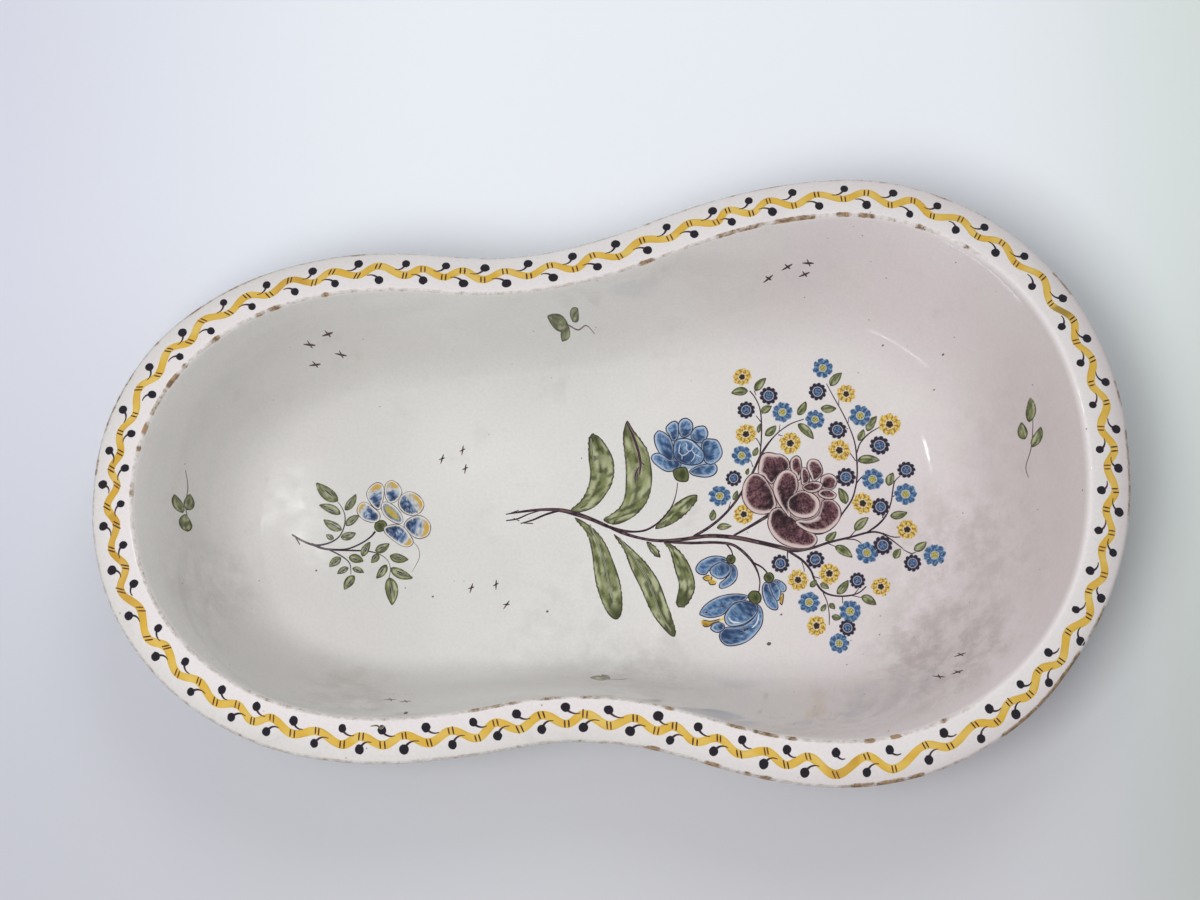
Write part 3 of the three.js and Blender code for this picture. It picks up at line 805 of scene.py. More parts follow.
def brush(sheet, knots, shade, layer=0, step=0.8, across=ACROSS):
    """A stroke: a smooth spine through (x, y, half width), with straight ribs across it.
    shade(d, u, v, x, y) gives its colours: d is the distance from the edge in mm, u the share
    along it and v the share across it from -1 to 1."""
    knots = np.array(knots, float)
    length = np.hypot(*np.diff(knots[:, :2], axis=0).T).sum()
    spine = smooth_line(knots, max(8, int(length / step) + 1))
    ahead = np.gradient(spine[:, :2], axis=0)
    ahead /= np.hypot(*ahead.T)[:, None] + 1e-9
    half, v = np.maximum(spine[:, 2], 0.05)[:, None], np.array(across)[None]
    x = spine[:, :1] - ahead[:, 1:] * half * v
    y = spine[:, 1:2] + ahead[:, :1] * half * v
    u = np.linspace(0, 1, len(spine))[:, None] + 0 * v
    d = (1 - np.abs(v)) * half
    sheet.lay(x, y, shade(d, u, v + 0 * half, x, y), layer, sink=np.abs(v) > 0.999)


EDGE_STEPS = np.array([0, 0.1, 0.3, 0.5, 0.8, 1.25, 2.0, 3.1, 4.4, 6.0])  # mm in from a shape's outline


def fill(sheet, outline, shade, layer=0, along=46, teeth=0.0, grow=0.0):
    """A painted shape with a smooth closed outline. Its two farthest points split the outline in two
    sides, joined by ribs whose points crowd towards the outline. shade is as for a brush; grow is how
    far, in mm, the outline is pushed outwards, and teeth how far small teeth 3 mm long stand out."""
    ring = smooth_line(outline, OUTLINE_STEPS, closed=True)
    if teeth or grow:
        ahead = np.roll(ring, -3, 0) - np.roll(ring, 3, 0)
        ahead /= np.hypot(*ahead.T)[:, None]
        gone = np.cumsum(np.hypot(*(ring - np.roll(ring, 1, 0)).T))
        outward = ahead[:, ::-1] * (1, -1)
        outward *= np.sign((outward * (ring - ring.mean(0))).sum())
        size = (0.5 + 0.5 * np.sin(gone / TOOTH_SWELL))[:, None]
        notch = np.mod(gone / TOOTH, 1)[:, None] ** 2 * size
        ring = ring + (grow + teeth * notch) * outward
    spread = np.hypot(ring[:, None, 0] - ring[None, :, 0], ring[:, None, 1] - ring[None, :, 1])
    first, second = np.unravel_index(spread.argmax(), spread.shape)
    turned = np.concatenate([np.roll(ring, -first, 0), ring[first : first + 1]])
    turn = (second - first) % len(ring)
    share = (1 - np.cos(np.pi * np.linspace(0, 1, along))) / 2
    one, other = resample(turned[: turn + 1], share), resample(turned[turn:][::-1], share)
    half = np.maximum(np.hypot(*(other - one).T)[:, None] / 2, 1e-6)
    shrunk = np.linspace(0, 1, len(EDGE_STEPS) + 1)[None, :-1]
    inward = np.minimum(EDGE_STEPS[None], half * shrunk) / half
    v = np.concatenate([inward - 1, 1 - inward[:, ::-1]], 1)
    middle, reach = (one + other) / 2, (other - one) / 2
    x = middle[:, :1] + reach[:, :1] * v
    y = middle[:, 1:] + reach[:, 1:] * v
    d = from_outline(x, y, ring)
    u = share[:, None] + 0 * v
    sheet.lay(x, y, shade(d, u, v, x, y), layer, sink=d < 1e-4)


def ink_shade(code, cover=1.0, soft=0.22):
    """Plain brush line, soft at its edges and a little uneven along its length."""
    colour = linear(code)

    def shade(d, u, v, x, y):
        """Colours at the points of a stroke or a shape."""
        body = rise(0, soft, d) * (cover - 0.12 * mottle(x, y, 7, 3))
        return with_cover(colour + 0 * x[..., None], body)

    return shade


def stem_shade(d, u, v, x, y):
    """A twig: two dark strokes side by side with a paler brown between them, broken and grainy."""
    core = rise(0.4, 0.75, d) * rise(0.4, 0.6, mottle(x, y, 4, 12)) * 0.6
    colour = blend(linear("#30202a"), linear("#85645f"), core)
    return with_cover(colour, rise(0, 0.13, d) * (1 - 0.1 * mottle(x, y, 7, 3)))


def petal_shade(colours, lean, low, high, seed, base=None, line=0.8, dash=0.25):
    """A petal: a thin broken ink outline, a margin that is widest towards lean degrees, then a wash
    that deepens in clouds towards its base. colours are the margin, pale, main and deep ones."""
    margin_colour, pale, main, deep = (linear(c) for c in colours)
    ink = linear("#2a1c24")

    def shade(d, u, v, x, y):
        """Colours at the points of a petal."""
        angle = np.arctan2(y - y.mean(), x - x.mean())
        margin = low + (high - low) * (0.5 + 0.5 * np.cos(angle - math.radians(lean))) ** 1.5
        margin = 0.5 * line + np.minimum(margin, 0.32 * d.max())
        wash = rise(0.75 * margin, 1.35 * margin + 0.25, d)
        cloud, fine = mottle(x, y, 4, seed), mottle(x, y, 1.2, seed + 7)
        colour = blend(pale, main, 0.1 + 1.1 * cloud + 0.6 * (fine - 0.5))
        colour = blend(colour, pale, 0.5 * (1 - rise(margin, margin + 2, d)))
        if base is not None:
            far = np.hypot(x - base[0], y - base[1])
            near = 1 - (far - far.min()) / (np.ptp(far) + 1e-6)
            colour = blend(colour, deep, 0.95 * rise(0.3, 0.95, near + 0.4 * (cloud - 0.5)))
        colour = blend(colour, deep, 0.5 * rise(0.62, 0.8, fine))
        colour = blend(margin_colour, colour, wash)
        broken = (1 - dash) + dash * rise(0.36, 0.5, mottle(x, y, 9, seed + 3))
        stroke = (1 - rise(0.6 * line, line, d)) * broken
        return with_cover(blend(colour, ink, stroke), rise(0, 0.1, d))

    return shade


def leaf_shade(seed, dark_end, end_dark=0.5, edge=0.8, rib=0.6):
    """A leaf: a sage wash with olive streaks drawn out lengthwise, darker towards its edges, where
    short ticks run inwards, a dark midrib, one darker end, and a broken brown outline."""
    pale, main, deep, ink = (linear(c) for c in (GREEN_PALE, GREEN, GREEN_DEEP, INK_BROWN))

    def shade(d, u, v, x, y):
        """Colours at the points of a leaf."""
        length = np.hypot(np.ptp(x), np.ptp(y))
        streak = mottle(u * length * 0.25, v * 3.5, 3.4, seed)
        colour = blend(pale, main, -0.35 + 1.9 * streak)
        finer = mottle(u * length * 0.4, v * 4, 3, seed + 5)
        colour = blend(colour, deep, 0.75 * rise(0.56, 0.8, finer))
        wave = np.sin(2.9 * u * length + 2 * np.sin(u * 9 + seed))
        ticks = 0.35 + 0.65 * rise(0.3, 0.9, 0.5 + 0.5 * wave)
        colour = blend(colour, deep, 0.85 * (1 - rise(0.35, 1.3, d)) * ticks)
        sway = 0.14 * np.sin(5 * u + seed)
        line = np.exp(-(((v - sway) * 8) ** 2)) * (0.4 + 0.6 * rise(0.35, 0.5, mottle(x, y, 6, seed + 8)))
        colour = blend(colour, blend(deep, ink, 0.35 + 0 * u), rib * line)
        far = np.hypot(x - dark_end[0], y - dark_end[1]) / length
        colour = blend(colour, deep, end_dark * (1 - rise(0.03, 0.2, far)))
        broken = 0.35 + 0.65 * rise(0.34, 0.48, mottle(x, y, 8, seed + 2))
        colour = blend(colour, ink, edge * (1 - rise(0.5, 0.85, d)) * broken)
        return with_cover(colour, rise(0, 0.16, d))

    return shade


def rosettes(sheet, places, shade, radius, layer=2, turns=60, rings=15):
    """Round flowers: discs of the same grid, each with its own turn and size. shade(r, a, x, y, k)
    gives the colours of flower k: r is in mm from its middle and a the angle round it."""
    for k, (x0, y0) in enumerate(places):
        draw = np.random.default_rng(100 + 7 * k + int(radius * 10))
        size = radius * draw.uniform(0.93, 1.1)
        squash, lean = draw.uniform(0.92, 1.06), draw.uniform(0, 2 * np.pi)
        r = np.linspace(1, 0, rings)[:, None] + np.zeros((1, turns))
        a = (2 * np.pi * np.arange(turns) / turns)[None] + np.zeros((rings, 1))
        dx, dy = r * size * np.cos(a), r * size * np.sin(a) * squash
        x = x0 + dx * math.cos(lean) - dy * math.sin(lean)
        y = y0 + dx * math.sin(lean) + dy * math.cos(lean)
        sheet.lay(x, y, shade(r * radius, a, x, y, k), layer, wrap=True, sink=r > 0.999)


def lobes(a, count, k):
    """1 at the middle of each of count petals round a flower, 0 between them."""
    return 0.5 + 0.5 * np.cos(count * a + k)


def blue_flower(r, a, x, y, k):
    """Eight blue petals run together round an olive-yellow eye and a ring of bare glaze."""
    lobe = lobes(a, 8, k)
    edge = 4.85 + 0.75 * lobe**0.6 + 0.9 * (mottle(x, y, 2.6, k + 70) - 0.5)
    colour = blend(linear("#7b98b8"), linear("#3f648c"), 0.25 + 1.2 * mottle(x, y, 1.6, k))
    colour = blend(colour, linear("#213a5e"), 0.8 * rise(0.46, 0.7, mottle(x, y, 1.9, k + 9)))
    seam = (1 - rise(0.02, 0.22, lobe)) * rise(2.6, 3.4, r)
    colour = blend(colour, linear("#a9bcd4"), 0.4 * seam)
    eye = 1 - rise(1.55, 1.95, r)
    olive = blend(linear("#b9ad55"), linear("#6d6a2c"), rise(0.5, 0.7, mottle(x, y, 1.0, k + 13)))
    ring = rise(1.95, 2.5, r) * (1 - rise(edge - 0.35, edge + 0.1, r))
    return with_cover(blend(colour, olive, eye), np.maximum(ring, eye * 0.95))


def yellow_flower(r, a, x, y, k):
    """Eight mustard dabs with darker seams round a near-black eye and a ring of bare glaze."""
    lobe = lobes(a, 8 + k % 2, k)
    edge = 4.6 + 0.85 * lobe**0.7 + 1.0 * (mottle(x, y, 2.6, k + 80) - 0.5)
    colour = blend(linear("#ecd68a"), linear("#d8ad45"), 0.25 + 0.9 * mottle(x, y, 1.8, k + 20))
    colour = blend(colour, linear("#7d5c1c"), 0.8 * (1 - rise(0.02, 0.35, lobe)))
    colour = blend(colour, linear("#5e431a"), 0.8 * rise(0.66, 0.78, mottle(x, y, 1.3, k + 31)))
    eye = 1 - rise(1.55 + 0.3 * np.cos(5 * a + k), 1.95, r)
    ring = rise(2.0, 2.4, r) * (1 - rise(edge - 0.35, edge + 0.1, r))
    return with_cover(blend(colour, linear(INK), eye), np.maximum(ring, eye))


def ringed_flower(r, a, x, y, k):
    """A slate-blue eye with a dark rim, a ring of bare glaze, and ten near-black dots round it that
    run together."""
    lobe = lobes(a, 10, k)
    inner = blend(linear("#6683a8"), linear("#22395f"), rise(0.45, 0.72, mottle(x, y, 1.3, k + 40)))
    inner = blend(inner, linear("#202a4a"), 0.8 * rise(1.5, 1.95, r))
    eye = 1 - rise(2.05, 2.3, r)
    edge = 3.95 + 0.6 * rise(0.05, 0.75, lobe)
    broken = 1 - 0.5 * (1 - rise(0.0, 0.2, lobe)) * rise(0.45, 0.6, mottle(x, y, 4, k + 60))
    ring = rise(2.6, 2.85, r) * (1 - rise(edge - 0.15, edge + 0.2, r)) * broken
    return with_cover(blend(linear("#232131") + 0 * inner, inner, eye), np.maximum(ring, eye))


# Stems of the large spray as spines of (x, y, half width) in mm, from the cut end to the tips.
STEMS = [
    [(-56, 3, .3), (-46, 4, .7), (-36, 4.3, .8), (-27, 3.4, 1.1), (-20, 1.3, 1.3), (-12, -2, 1.1),
     (-3, -6.6, 1)],
    [(-5, -5.8, .8), (3, -9, .9), (11, -10.4, .6), (18, -9.6, .6), (25, -5.4, .5), (31, 1.2, .4),
     (34, 8, .3), (35.4, 14.5, .25)],
    [(-48.5, -2.4, .3), (-42, -.9, .5), (-35, 1.6, .6), (-28, 3.2, .6)],
    [(-56, -.4, .35), (-50, .2, .45), (-44, 2.4, .4), (-38, 3.8, .3)], [(-49, 4.8, .25), (-53, 3.6, .3)],
    [(-42, -2.8, .3), (-47, -2.2, .35)], [(-49, -1, .25), (-52, .6, .3)],
    [(-6, -4.8, .7), (4, -10.3, .9), (14, -14, .8), (24, -16, .9), (36, -16, 1), (50, -15, 1.1),
     (64, -16.8, 1.2), (76, -20, 1.2), (86, -23, 1.2), (94, -25.4, 1.1), (103, -24.8, .8),
     (113, -22.2, .7), (124, -20.2, .6), (134, -18.2, .6), (140, -19, .5), (145, -22.6, .4),
     (151, -28, .3)],
    [(42, -14.8, .8), (50, -10.6, .8), (58, -4.8, .7), (66, 3.6, .7), (74, 15.4, .7), (81, 28, .7),
     (88, 36.4, .4), (96, 42, .35), (104, 44.6, .3)],
    [(79.6, 26.6, .4), (80.8, 34, .4), (81.6, 44, .4), (81.2, 52, .35), (79, 58, .35), (76.6, 61.6, .4)],
    [(63, -15.6, .6), (72, -11.2, .8), (83, -5.4, 1)],
    [(27, -16.8, .7), (40, -18.2, .8), (54, -18.8, .8), (63, -21, .8), (70, -27.6, .8), (73.6, -34, .6),
     (75, -40.6, .4), (74, -47, .35)],
    [(59, -20, .5), (61.2, -23.6, .4), (62, -28, .35)],
    [(71.6, -30.4, .6), (76.6, -33.4, .5), (80, -37.6, .4)],
    [(91, -25.6, .7), (98, -31, .7), (102, -36.6, .6), (104, -42.6, .6), (107.6, -48, .6),
     (113, -50.6, .5), (120, -51.2, .5), (126, -50, .4), (130.4, -46.8, .4)],
    [(107.6, -48.6, .35), (109.4, -54, .3), (110, -60, .3), (109.6, -66, .25)],
    [(97.6, -31.6, .25), (98.6, -36, .25), (97.6, -40, .25)], [(103.6, -40, .3), (108, -41.6, .25)],
    [(117.6, -51, .3), (117.4, -55.6, .25)], [(124, -50.4, .3), (126.6, -47.4, .25)],
    [(122, -51, .3), (127.6, -52.6, .25)], [(90.6, -25.8, .4), (90.2, -30, .3)],
    [(104, -17.4, .5), (110, -17, .6), (116, -13, .5), (121, -7, .5), (126, -.6, .5), (128.6, 6, .45),
     (130, 13, .45), (130.4, 22, .45), (130, 30, .4), (128, 38, .35), (124.6, 47, .35), (120.6, 55.6, .3),
     (117.4, 63, .25)],
    [(130.6, 24.6, .4), (133, 30, .4), (138, 34.8, .4), (144, 38, .25)],
    [(128.8, 7.6, .35), (131.6, 11, .35), (134, 12, .25)], [(127.2, 40.4, .25), (127.8, 44.4, .2)],
    [(129.8, 20.4, .3), (127.6, 24, .3), (125, 27.4, .2)], [(123, 50.6, .25), (123.4, 55, .2)],
    [(130.4, 19.4, .25), (133, 20.6, .2)], [(126, -.4, .3), (128.6, -1, .2)],
    [(127, 38, .3), (124.4, 38, .25)],
    [(133, -18.2, .5), (139, -14.4, .6), (143.6, -9.6, .5), (146.6, -3, .4), (148, 3, .4), (149.4, 8, .35),
     (152.6, 11, .25)],
    [(147.8, 0, .35), (151.6, 2, .25)], [(141.6, -11, .35), (142.4, -7.6, .25)],
    [(141, -19, .3), (146, -21.4, .35), (150.6, -21.6, .3), (153.6, -20.4, .25)],
    [(141.4, -19.6, .3), (143.6, -22.4, .25)], [(151, -28.4, .25), (155, -30.8, .35), (157.6, -30.4, .25)],
    [(120, -21, .3), (126.6, -21.8, .35), (130.6, -25, .25)], [(111.4, -22.6, .3), (116.6, -25, .25)],
    [(123.6, -20.2, .35), (127.4, -16.4, .25)], [(61, -1.6, .3), (62.6, 2.6, .2)],
    [(90.4, 38.4, .25), (91.4, 42.4, .2)], [(90, 37, .3), (93.4, 35.8, .2)],
    [(80.4, 31, .3), (79, 34.6, .3), (76.6, 37.4, .2)], [(81.4, 44.4, .3), (79, 48, .25)],
    [(75.6, 20.4, .3), (74.4, 24.4, .2)], [(81.4, 48, .25), (83, 49.6, .2)],
    [(79, 61.4, .3), (79.8, 59, .2)], [(81.6, 40, .2), (80.6, 42, .2)],
]
# Long leaves: the outline of each, and its tip, where the paint is darkest.
LONG_LEAVES = [
    ((-8, 43.5), [(-22, 3), (-16, 8), (-12, 15), (-10.5, 22), (-10.8, 30), (-10.5, 36), (-10, 41),
                  (-8, 43.5), (-5, 42), (-3, 40), (1, 33), (2.5, 26), (1, 17), (-3, 10), (-9, 4),
                  (-17, 1.7)]),
    ((11, 49.5), [(-5, -3), (0, 0), (4, 3), (7, 9), (8, 17), (8.5, 27), (8, 40), (9, 46), (11, 49.5),
                  (14, 44), (20, 34), (22, 25), (22, 16), (19, 6), (13, -1), (6, -5), (0, -6)]),
    ((44, 3), [(22, -9.5), (27, -3), (33, 3), (40, 7), (45, 7.4), (45, 4.5), (44, 3), (38, -3), (30, -8)]),
    ((-1, -56.5), [(-20, -1), (-14, -10), (-12, -20), (-11.5, -30), (-10, -40), (-7, -50), (-4, -55),
                   (-1, -56.5), (1.5, -54), (2.5, -48), (2, -37), (-1, -25), (-6, -13), (-13, -5)]),
    ((28, -67.4), [(0, -11), (5, -20), (8, -30), (13, -42), (18, -55), (24, -64), (28, -67.4), (29.4, -64),
                   (26, -50), (22, -37), (15, -26), (7, -17)]),
    ((34, -49), [(26, -17), (29, -22), (31, -32), (32.5, -40), (31, -47), (30.6, -50.5), (33, -52.2),
                 (36, -51), (39, -47), (41, -42), (40.5, -35), (37, -26), (31, -19)]),
    ((23.6, -24.6), [(17, -16), (20, -17.5), (23, -21), (23.6, -24.6), (21, -24), (18, -20)]),
]
# Veins drawn on them, as spines of (x, y, half width): dark ones, then green ones.
LEAF_VEINS = [
    [(10.6, 48, .3), (13.4, 41, .5), (15.6, 33, .55), (16.4, 26, .5), (15.6, 20, .3)],
    [(15.4, 24, .3), (13.4, 20, .4), (13, 15, .25)], [(16.4, 27, .3), (18.4, 25, .3)],
]
GREEN_VEINS = [
    [(-9, 41, .3), (-8.6, 34, .4), (-8, 26, .3)],
    [(-12, -5, .25), (-7, -20, .35), (-5, -30, .35), (-3, -45, .25)],
    [(3, -13, .25), (10, -24, .35), (17, -38, .4), (22, -55, .35), (27, -64, .25)],
]
# Small leaves of the large spray: base, tip, half width.
SMALL_LEAVES = [
    (79.4, 61.4, 85.6, 68, 2.1), (75.6, 61.6, 66.8, 61, 2.3), (82, 49.4, 87.6, 52.6, 2),
    (101, 47, 105.8, 54, 2.1), (100.8, 42.2, 108.4, 33.6, 2.3), (83, 37, 89.2, 42, 2.1),
    (79.6, 38.6, 81.4, 43.8, 1.2), (76, 26.4, 78.6, 31, 1.5), (72, 16.4, 73.2, 20, 1.1),
    (51.8, -7, 53.2, -1, 1.8), (54.4, -11, 62.2, -10.6, 1.8), (64, 3.4, 66.4, 8.4, 1.4),
    (119.4, 61.6, 125.8, 68.4, 2.3), (113.4, 50, 121.6, 49.4, 2.2), (137, 36, 142.6, 43.8, 2.2),
    (132, 31.2, 135.2, 37.2, 1.9), (130.8, 20.6, 142.4, 20, 2.4), (123, -2.4, 119.8, 6.4, 2.4),
    (146, 6, 149, 12.8, 2.3), (145.6, -10.2, 154.8, -8.8, 2.2), (126.6, -16.8, 134.2, -10.4, 2.3),
    (110.8, -21.2, 116.8, -16.8, 2), (115.6, -24.6, 124.2, -31, 2.4), (156.6, -29.2, 163.4, -25.4, 2.2),
    (146.2, -33, 149.8, -28, 2), (101, -45.2, 104.6, -41.8, 1.6), (106.4, -44, 110.8, -46.8, 1.6),
    (114.8, -49.8, 121.2, -43, 2.2), (127.4, -52, 134.8, -56.8, 2.3), (105.8, -58.4, 108.6, -54.8, 1.4),
    (110.4, -54.8, 113.2, -57.8, 1.5), (111.2, -61.4, 116.2, -62.6, 1.7),
]
# The middle of each small flower round the rose.
BLUE_FLOWERS = [
    (93, 49), (110, 44), (70, 27), (57, 6), (116, 71.6), (134, 44.6), (138, 10), (154.6, 1), (167, -33),
    (132, -29), (100, -53.4), (121, -59.4), (114, -76),
]
YELLOW_FLOWERS = [
    (73, 69.4), (73, 38.4), (96, 32), (69, -4.6), (127.4, 56.8), (149, 39), (121.6, 26.6), (131.8, -2.6),
    (154, -18), (95, -41.2), (111.6, -38.8), (138, -47.4), (103, -66),
]
RINGED_FLOWERS = [
    (86.4, 58.4), (74, 51.4), (65, 15), (112.4, 59), (121.4, 37.6), (143, 28), (156, 14), (124, 12),
    (141, -5), (155.4, -36), (140.6, -25.6), (104.8, -31), (86.4, -32), (126, -43.4), (119, -68),
]


# Petals, lowest first: where the pale margin is widest (degrees), its least and greatest width in
# mm, and the outline.
PEONY = [
    (160, 0.3, 0.9, [(26.9, 42.6), (25, 40.5), (24.8, 37.8), (25.4, 34.7), (26.9, 31.2), (28.8, 28.5),
                     (31.5, 26.6), (33.5, 27.4), (34.2, 30.5), (33.8, 34.7), (32.7, 38.5), (30.8, 40.8),
                     (28.8, 42.2)]),
    (197, 0.3, 0.9, [(22.7, 28.9), (23.5, 30.1), (25.8, 30.7), (28.8, 29.3), (31.5, 27), (34.6, 27),
                     (36.9, 25.5), (37.3, 23.5), (34.6, 21.6), (30.8, 21), (27.7, 22.4), (24.2, 25.5),
                     (22.9, 27.4)]),
    (120, 0.3, 0.9, [(31.5, 44.7), (34.2, 47), (36.5, 47.2), (37.5, 45.1), (37.3, 42), (36.9, 39.3),
                     (35.4, 37.4), (33.8, 37.8), (32.7, 40.5), (31.5, 42.4)]),
    (93, 0.3, 0.9, [(38.1, 46.2), (40, 48.3), (42.3, 48.5), (44.2, 47), (45, 45.1), (44.6, 42.4),
                    (43.1, 40.1), (40.8, 38.9), (38.8, 39.7), (37.9, 42.8)]),
    (57, 0.3, 0.9, [(44.6, 40.8), (46.5, 43.2), (49.2, 43.9), (51.5, 43.5), (52.7, 40.5), (51.9, 37.8),
                    (50, 35.8), (47.3, 35.5), (45, 37), (44.2, 38.9)]),
    (0, 0.3, 0.9, [(49.6, 34.3), (51.2, 36.6), (54.6, 36.6), (57.3, 35.8), (58.8, 33.2), (59.6, 29.7),
                   (58.8, 27), (56.5, 24.7), (53.5, 23.5), (50.8, 24.7), (50, 28.2), (49.4, 31.2)]),
    (307, 0.3, 0.9, [(42.3, 20.1), (44.6, 21.6), (47.7, 22.8), (51.5, 23.3), (54.6, 23.5), (56.2, 22),
                     (56, 19.3), (53.8, 17.4), (50.4, 16.8), (46.5, 17.4), (43.5, 18.5)]),
]
PEONY_MIDDLE = (42, 30)
PEONY_HEART = [
    (35.4, 36.6), (37.3, 37.8), (40.4, 38), (43.8, 37), (46.5, 34.7), (48.8, 32), (50.2, 29.3), (50, 26.6),
    (48.1, 24.3), (44.6, 23.5), (40.8, 23.9), (37.7, 25.1), (35.4, 27), (34.2, 30.1), (34.4, 33.9),
]
# Pale cracks in the heart, as spines of (x, y, half width).
PEONY_CRACKS = [
    [(38, 35, .2), (37.3, 32.8, .3), (37, 30.5, .2)], [(41, 35.5, .2), (41.5, 34.3, .25), (41, 33.2, .2)],
    [(45, 33.5, .2), (43.8, 31.6, .25), (42.3, 30.8, .2)],
    [(43.8, 31.6, .2), (45.4, 29.3, .25), (48.5, 27.4, .2)],
    [(37, 37, .15), (40.5, 37.3, .28), (43.5, 36.2, .28), (46, 33.9, .28), (48, 31.3, .15)],
    [(37, 30.5, .2), (38.6, 29, .22), (40.6, 29.4, .22), (42.3, 30.8, .2)],
    [(38.6, 29, .2), (38.4, 26.8, .15)], [(42.3, 30.8, .2), (41.4, 32, .22), (41, 33.2, .15)],
    [(45.4, 29.3, .2), (44.6, 27, .22), (43.2, 25.4, .15)],
]
# Outlines of the green calyxes that hold the peony, the bells and the sprig's flower.
CALYXES = [
    [(33.1, 19.7), (33.5, 21.6), (36.5, 22.8), (40, 22.8), (41.5, 20.1), (41.5, 16.6), (40.4, 14.7),
     (36.9, 14.7), (34.2, 16.2)],
    [(58.1, -28.2), (59.4, -25.8), (62, -25.9), (63.3, -28), (62, -30.6), (59.4, -30.5)],
    [(68, -48.6), (70.2, -45.6), (73.8, -45.9), (75.5, -48.9), (74.3, -52.2), (70.6, -52.6)],
    [(77, -39), (78.4, -36.6), (81.2, -36.4), (82.8, -38.8), (81.6, -41.6), (78.6, -41.8)],
    [(-125.6, 0), (-124.6, 3), (-121, 4), (-118.6, 1.6), (-120, -1.6), (-123.6, -2.4)],
]
ROSE = [
    (135, 0.4, 2.2, [(78.5, 17), (79.1, 22), (80.5, 26), (83, 27.5), (86, 27.2), (88, 26.5), (90.5, 26.2),
                     (93, 24.5), (94.5, 22), (94, 18.5), (90, 16), (87.5, 13.5), (85, 11), (83, 12.5),
                     (81, 15.5)]),
    (215, 0.6, 2.4, [(75, 16.7), (72.5, 15), (70.2, 11.5), (69.1, 7), (69.2, 3.5), (71, -.5), (74, -3.5),
                     (78, -4.9), (81.5, -4.7), (84.5, -3.5), (86.2, -.5), (85.8, 3), (84.8, 7),
                     (83.2, 10.5), (81.5, 13.5), (79.5, 15.5), (77.5, 16.5)]),
    (235, 0.4, 2.4, [(83.5, -4), (82, -7.5), (81.5, -10.5), (82.5, -14.5), (85, -18.5), (88.5, -21.5),
                     (93, -23.5), (98, -24.5), (102.5, -24.3), (105.5, -22.3), (106.3, -20), (105, -17.5),
                     (102, -15), (99, -12.5), (96.5, -9.5), (93.5, -7), (91, -5), (88.5, -2.5),
                     (86, -2.5)]),
    (280, 0.5, 2.2, [(96, -10.5), (98, -13), (101, -15.2), (104, -16.5), (107.5, -17), (111.5, -16.5),
                     (115, -14.5), (118, -11.5), (119.7, -8), (119.5, -4.5), (118.2, -2), (116, 0),
                     (113.5, .5), (111, 0), (110, -3), (108.5, -7), (105, -9.5), (101, -10), (98, -9.5)]),
    (160, 0.5, 2.2, [(92, 17.5), (90, 16.5), (87.5, 13.5), (85.7, 9.5), (85.7, 6), (87, 2), (88.8, -1.5),
                     (91, -5), (93, -7.5), (93.2, -3), (94, .5), (96, 4), (98, 7.5), (98.4, 11),
                     (97.7, 14.5), (96, 16.5), (94, 17.5)]),
    (315, 0.4, 3.5, [(93.2, 2), (96, 4.2), (99, 5.8), (102, 5.8), (105.5, 4.2), (108, 2), (109, -1),
                     (108.5, -4), (106.5, -6.8), (103.5, -8.3), (100, -8.5), (96.5, -7.3), (93.8, -5),
                     (92.5, -2)]),
    (170, 0.3, 2.5, [(96, 23), (98.5, 24.8), (100.5, 23.5), (101, 19.5), (100.5, 15.5), (99, 12), (98, 15),
                     (96, 17), (95.3, 19.5)]),
    (150, 0.3, 3.0, [(104.3, 20), (105.5, 22), (107.5, 22.5), (110, 21.5), (111.5, 18.5), (111.8, 15.5),
                     (110, 13), (107, 11), (105.5, 14.5), (104.3, 17.5)]),
    (170, 0.3, 1.5, [(101, 17.5), (102.5, 18.3), (104, 17), (104.8, 14), (104, 10.5), (101, 9.5),
                     (100.5, 13.5)]),
    (100, 0.4, 1.6, [(111, 12), (113, 13.8), (116, 14), (118.5, 12), (118.8, 9.5), (117, 6.5), (114, 6.3),
                     (111, 7.5)]),
    (330, 0.4, 1.5, [(101, 8), (104, 10), (108, 10.5), (111, 9), (110, 6.5), (107, 5), (103.5, 5.5)]),
    (250, 0.5, 1.5, [(109, 4.5), (111.5, 6), (115, 5.5), (118, 3), (116.5, 1), (113, 1), (110, 2.5)]),
]
ROSE_MIDDLE = (93, 0)
ROSE_GROUND = [
    (84, 14), (92, 20), (97, 12), (106, 10), (112, 8), (112, 2), (108, -8), (98, -12), (88, -6), (84, 2),
]
ROSE_ARC = [(109.5, 0, .2), (109, -5, .28), (106, -8.5, .3), (102, -9.5, .28), (98, -8.8, .2)]
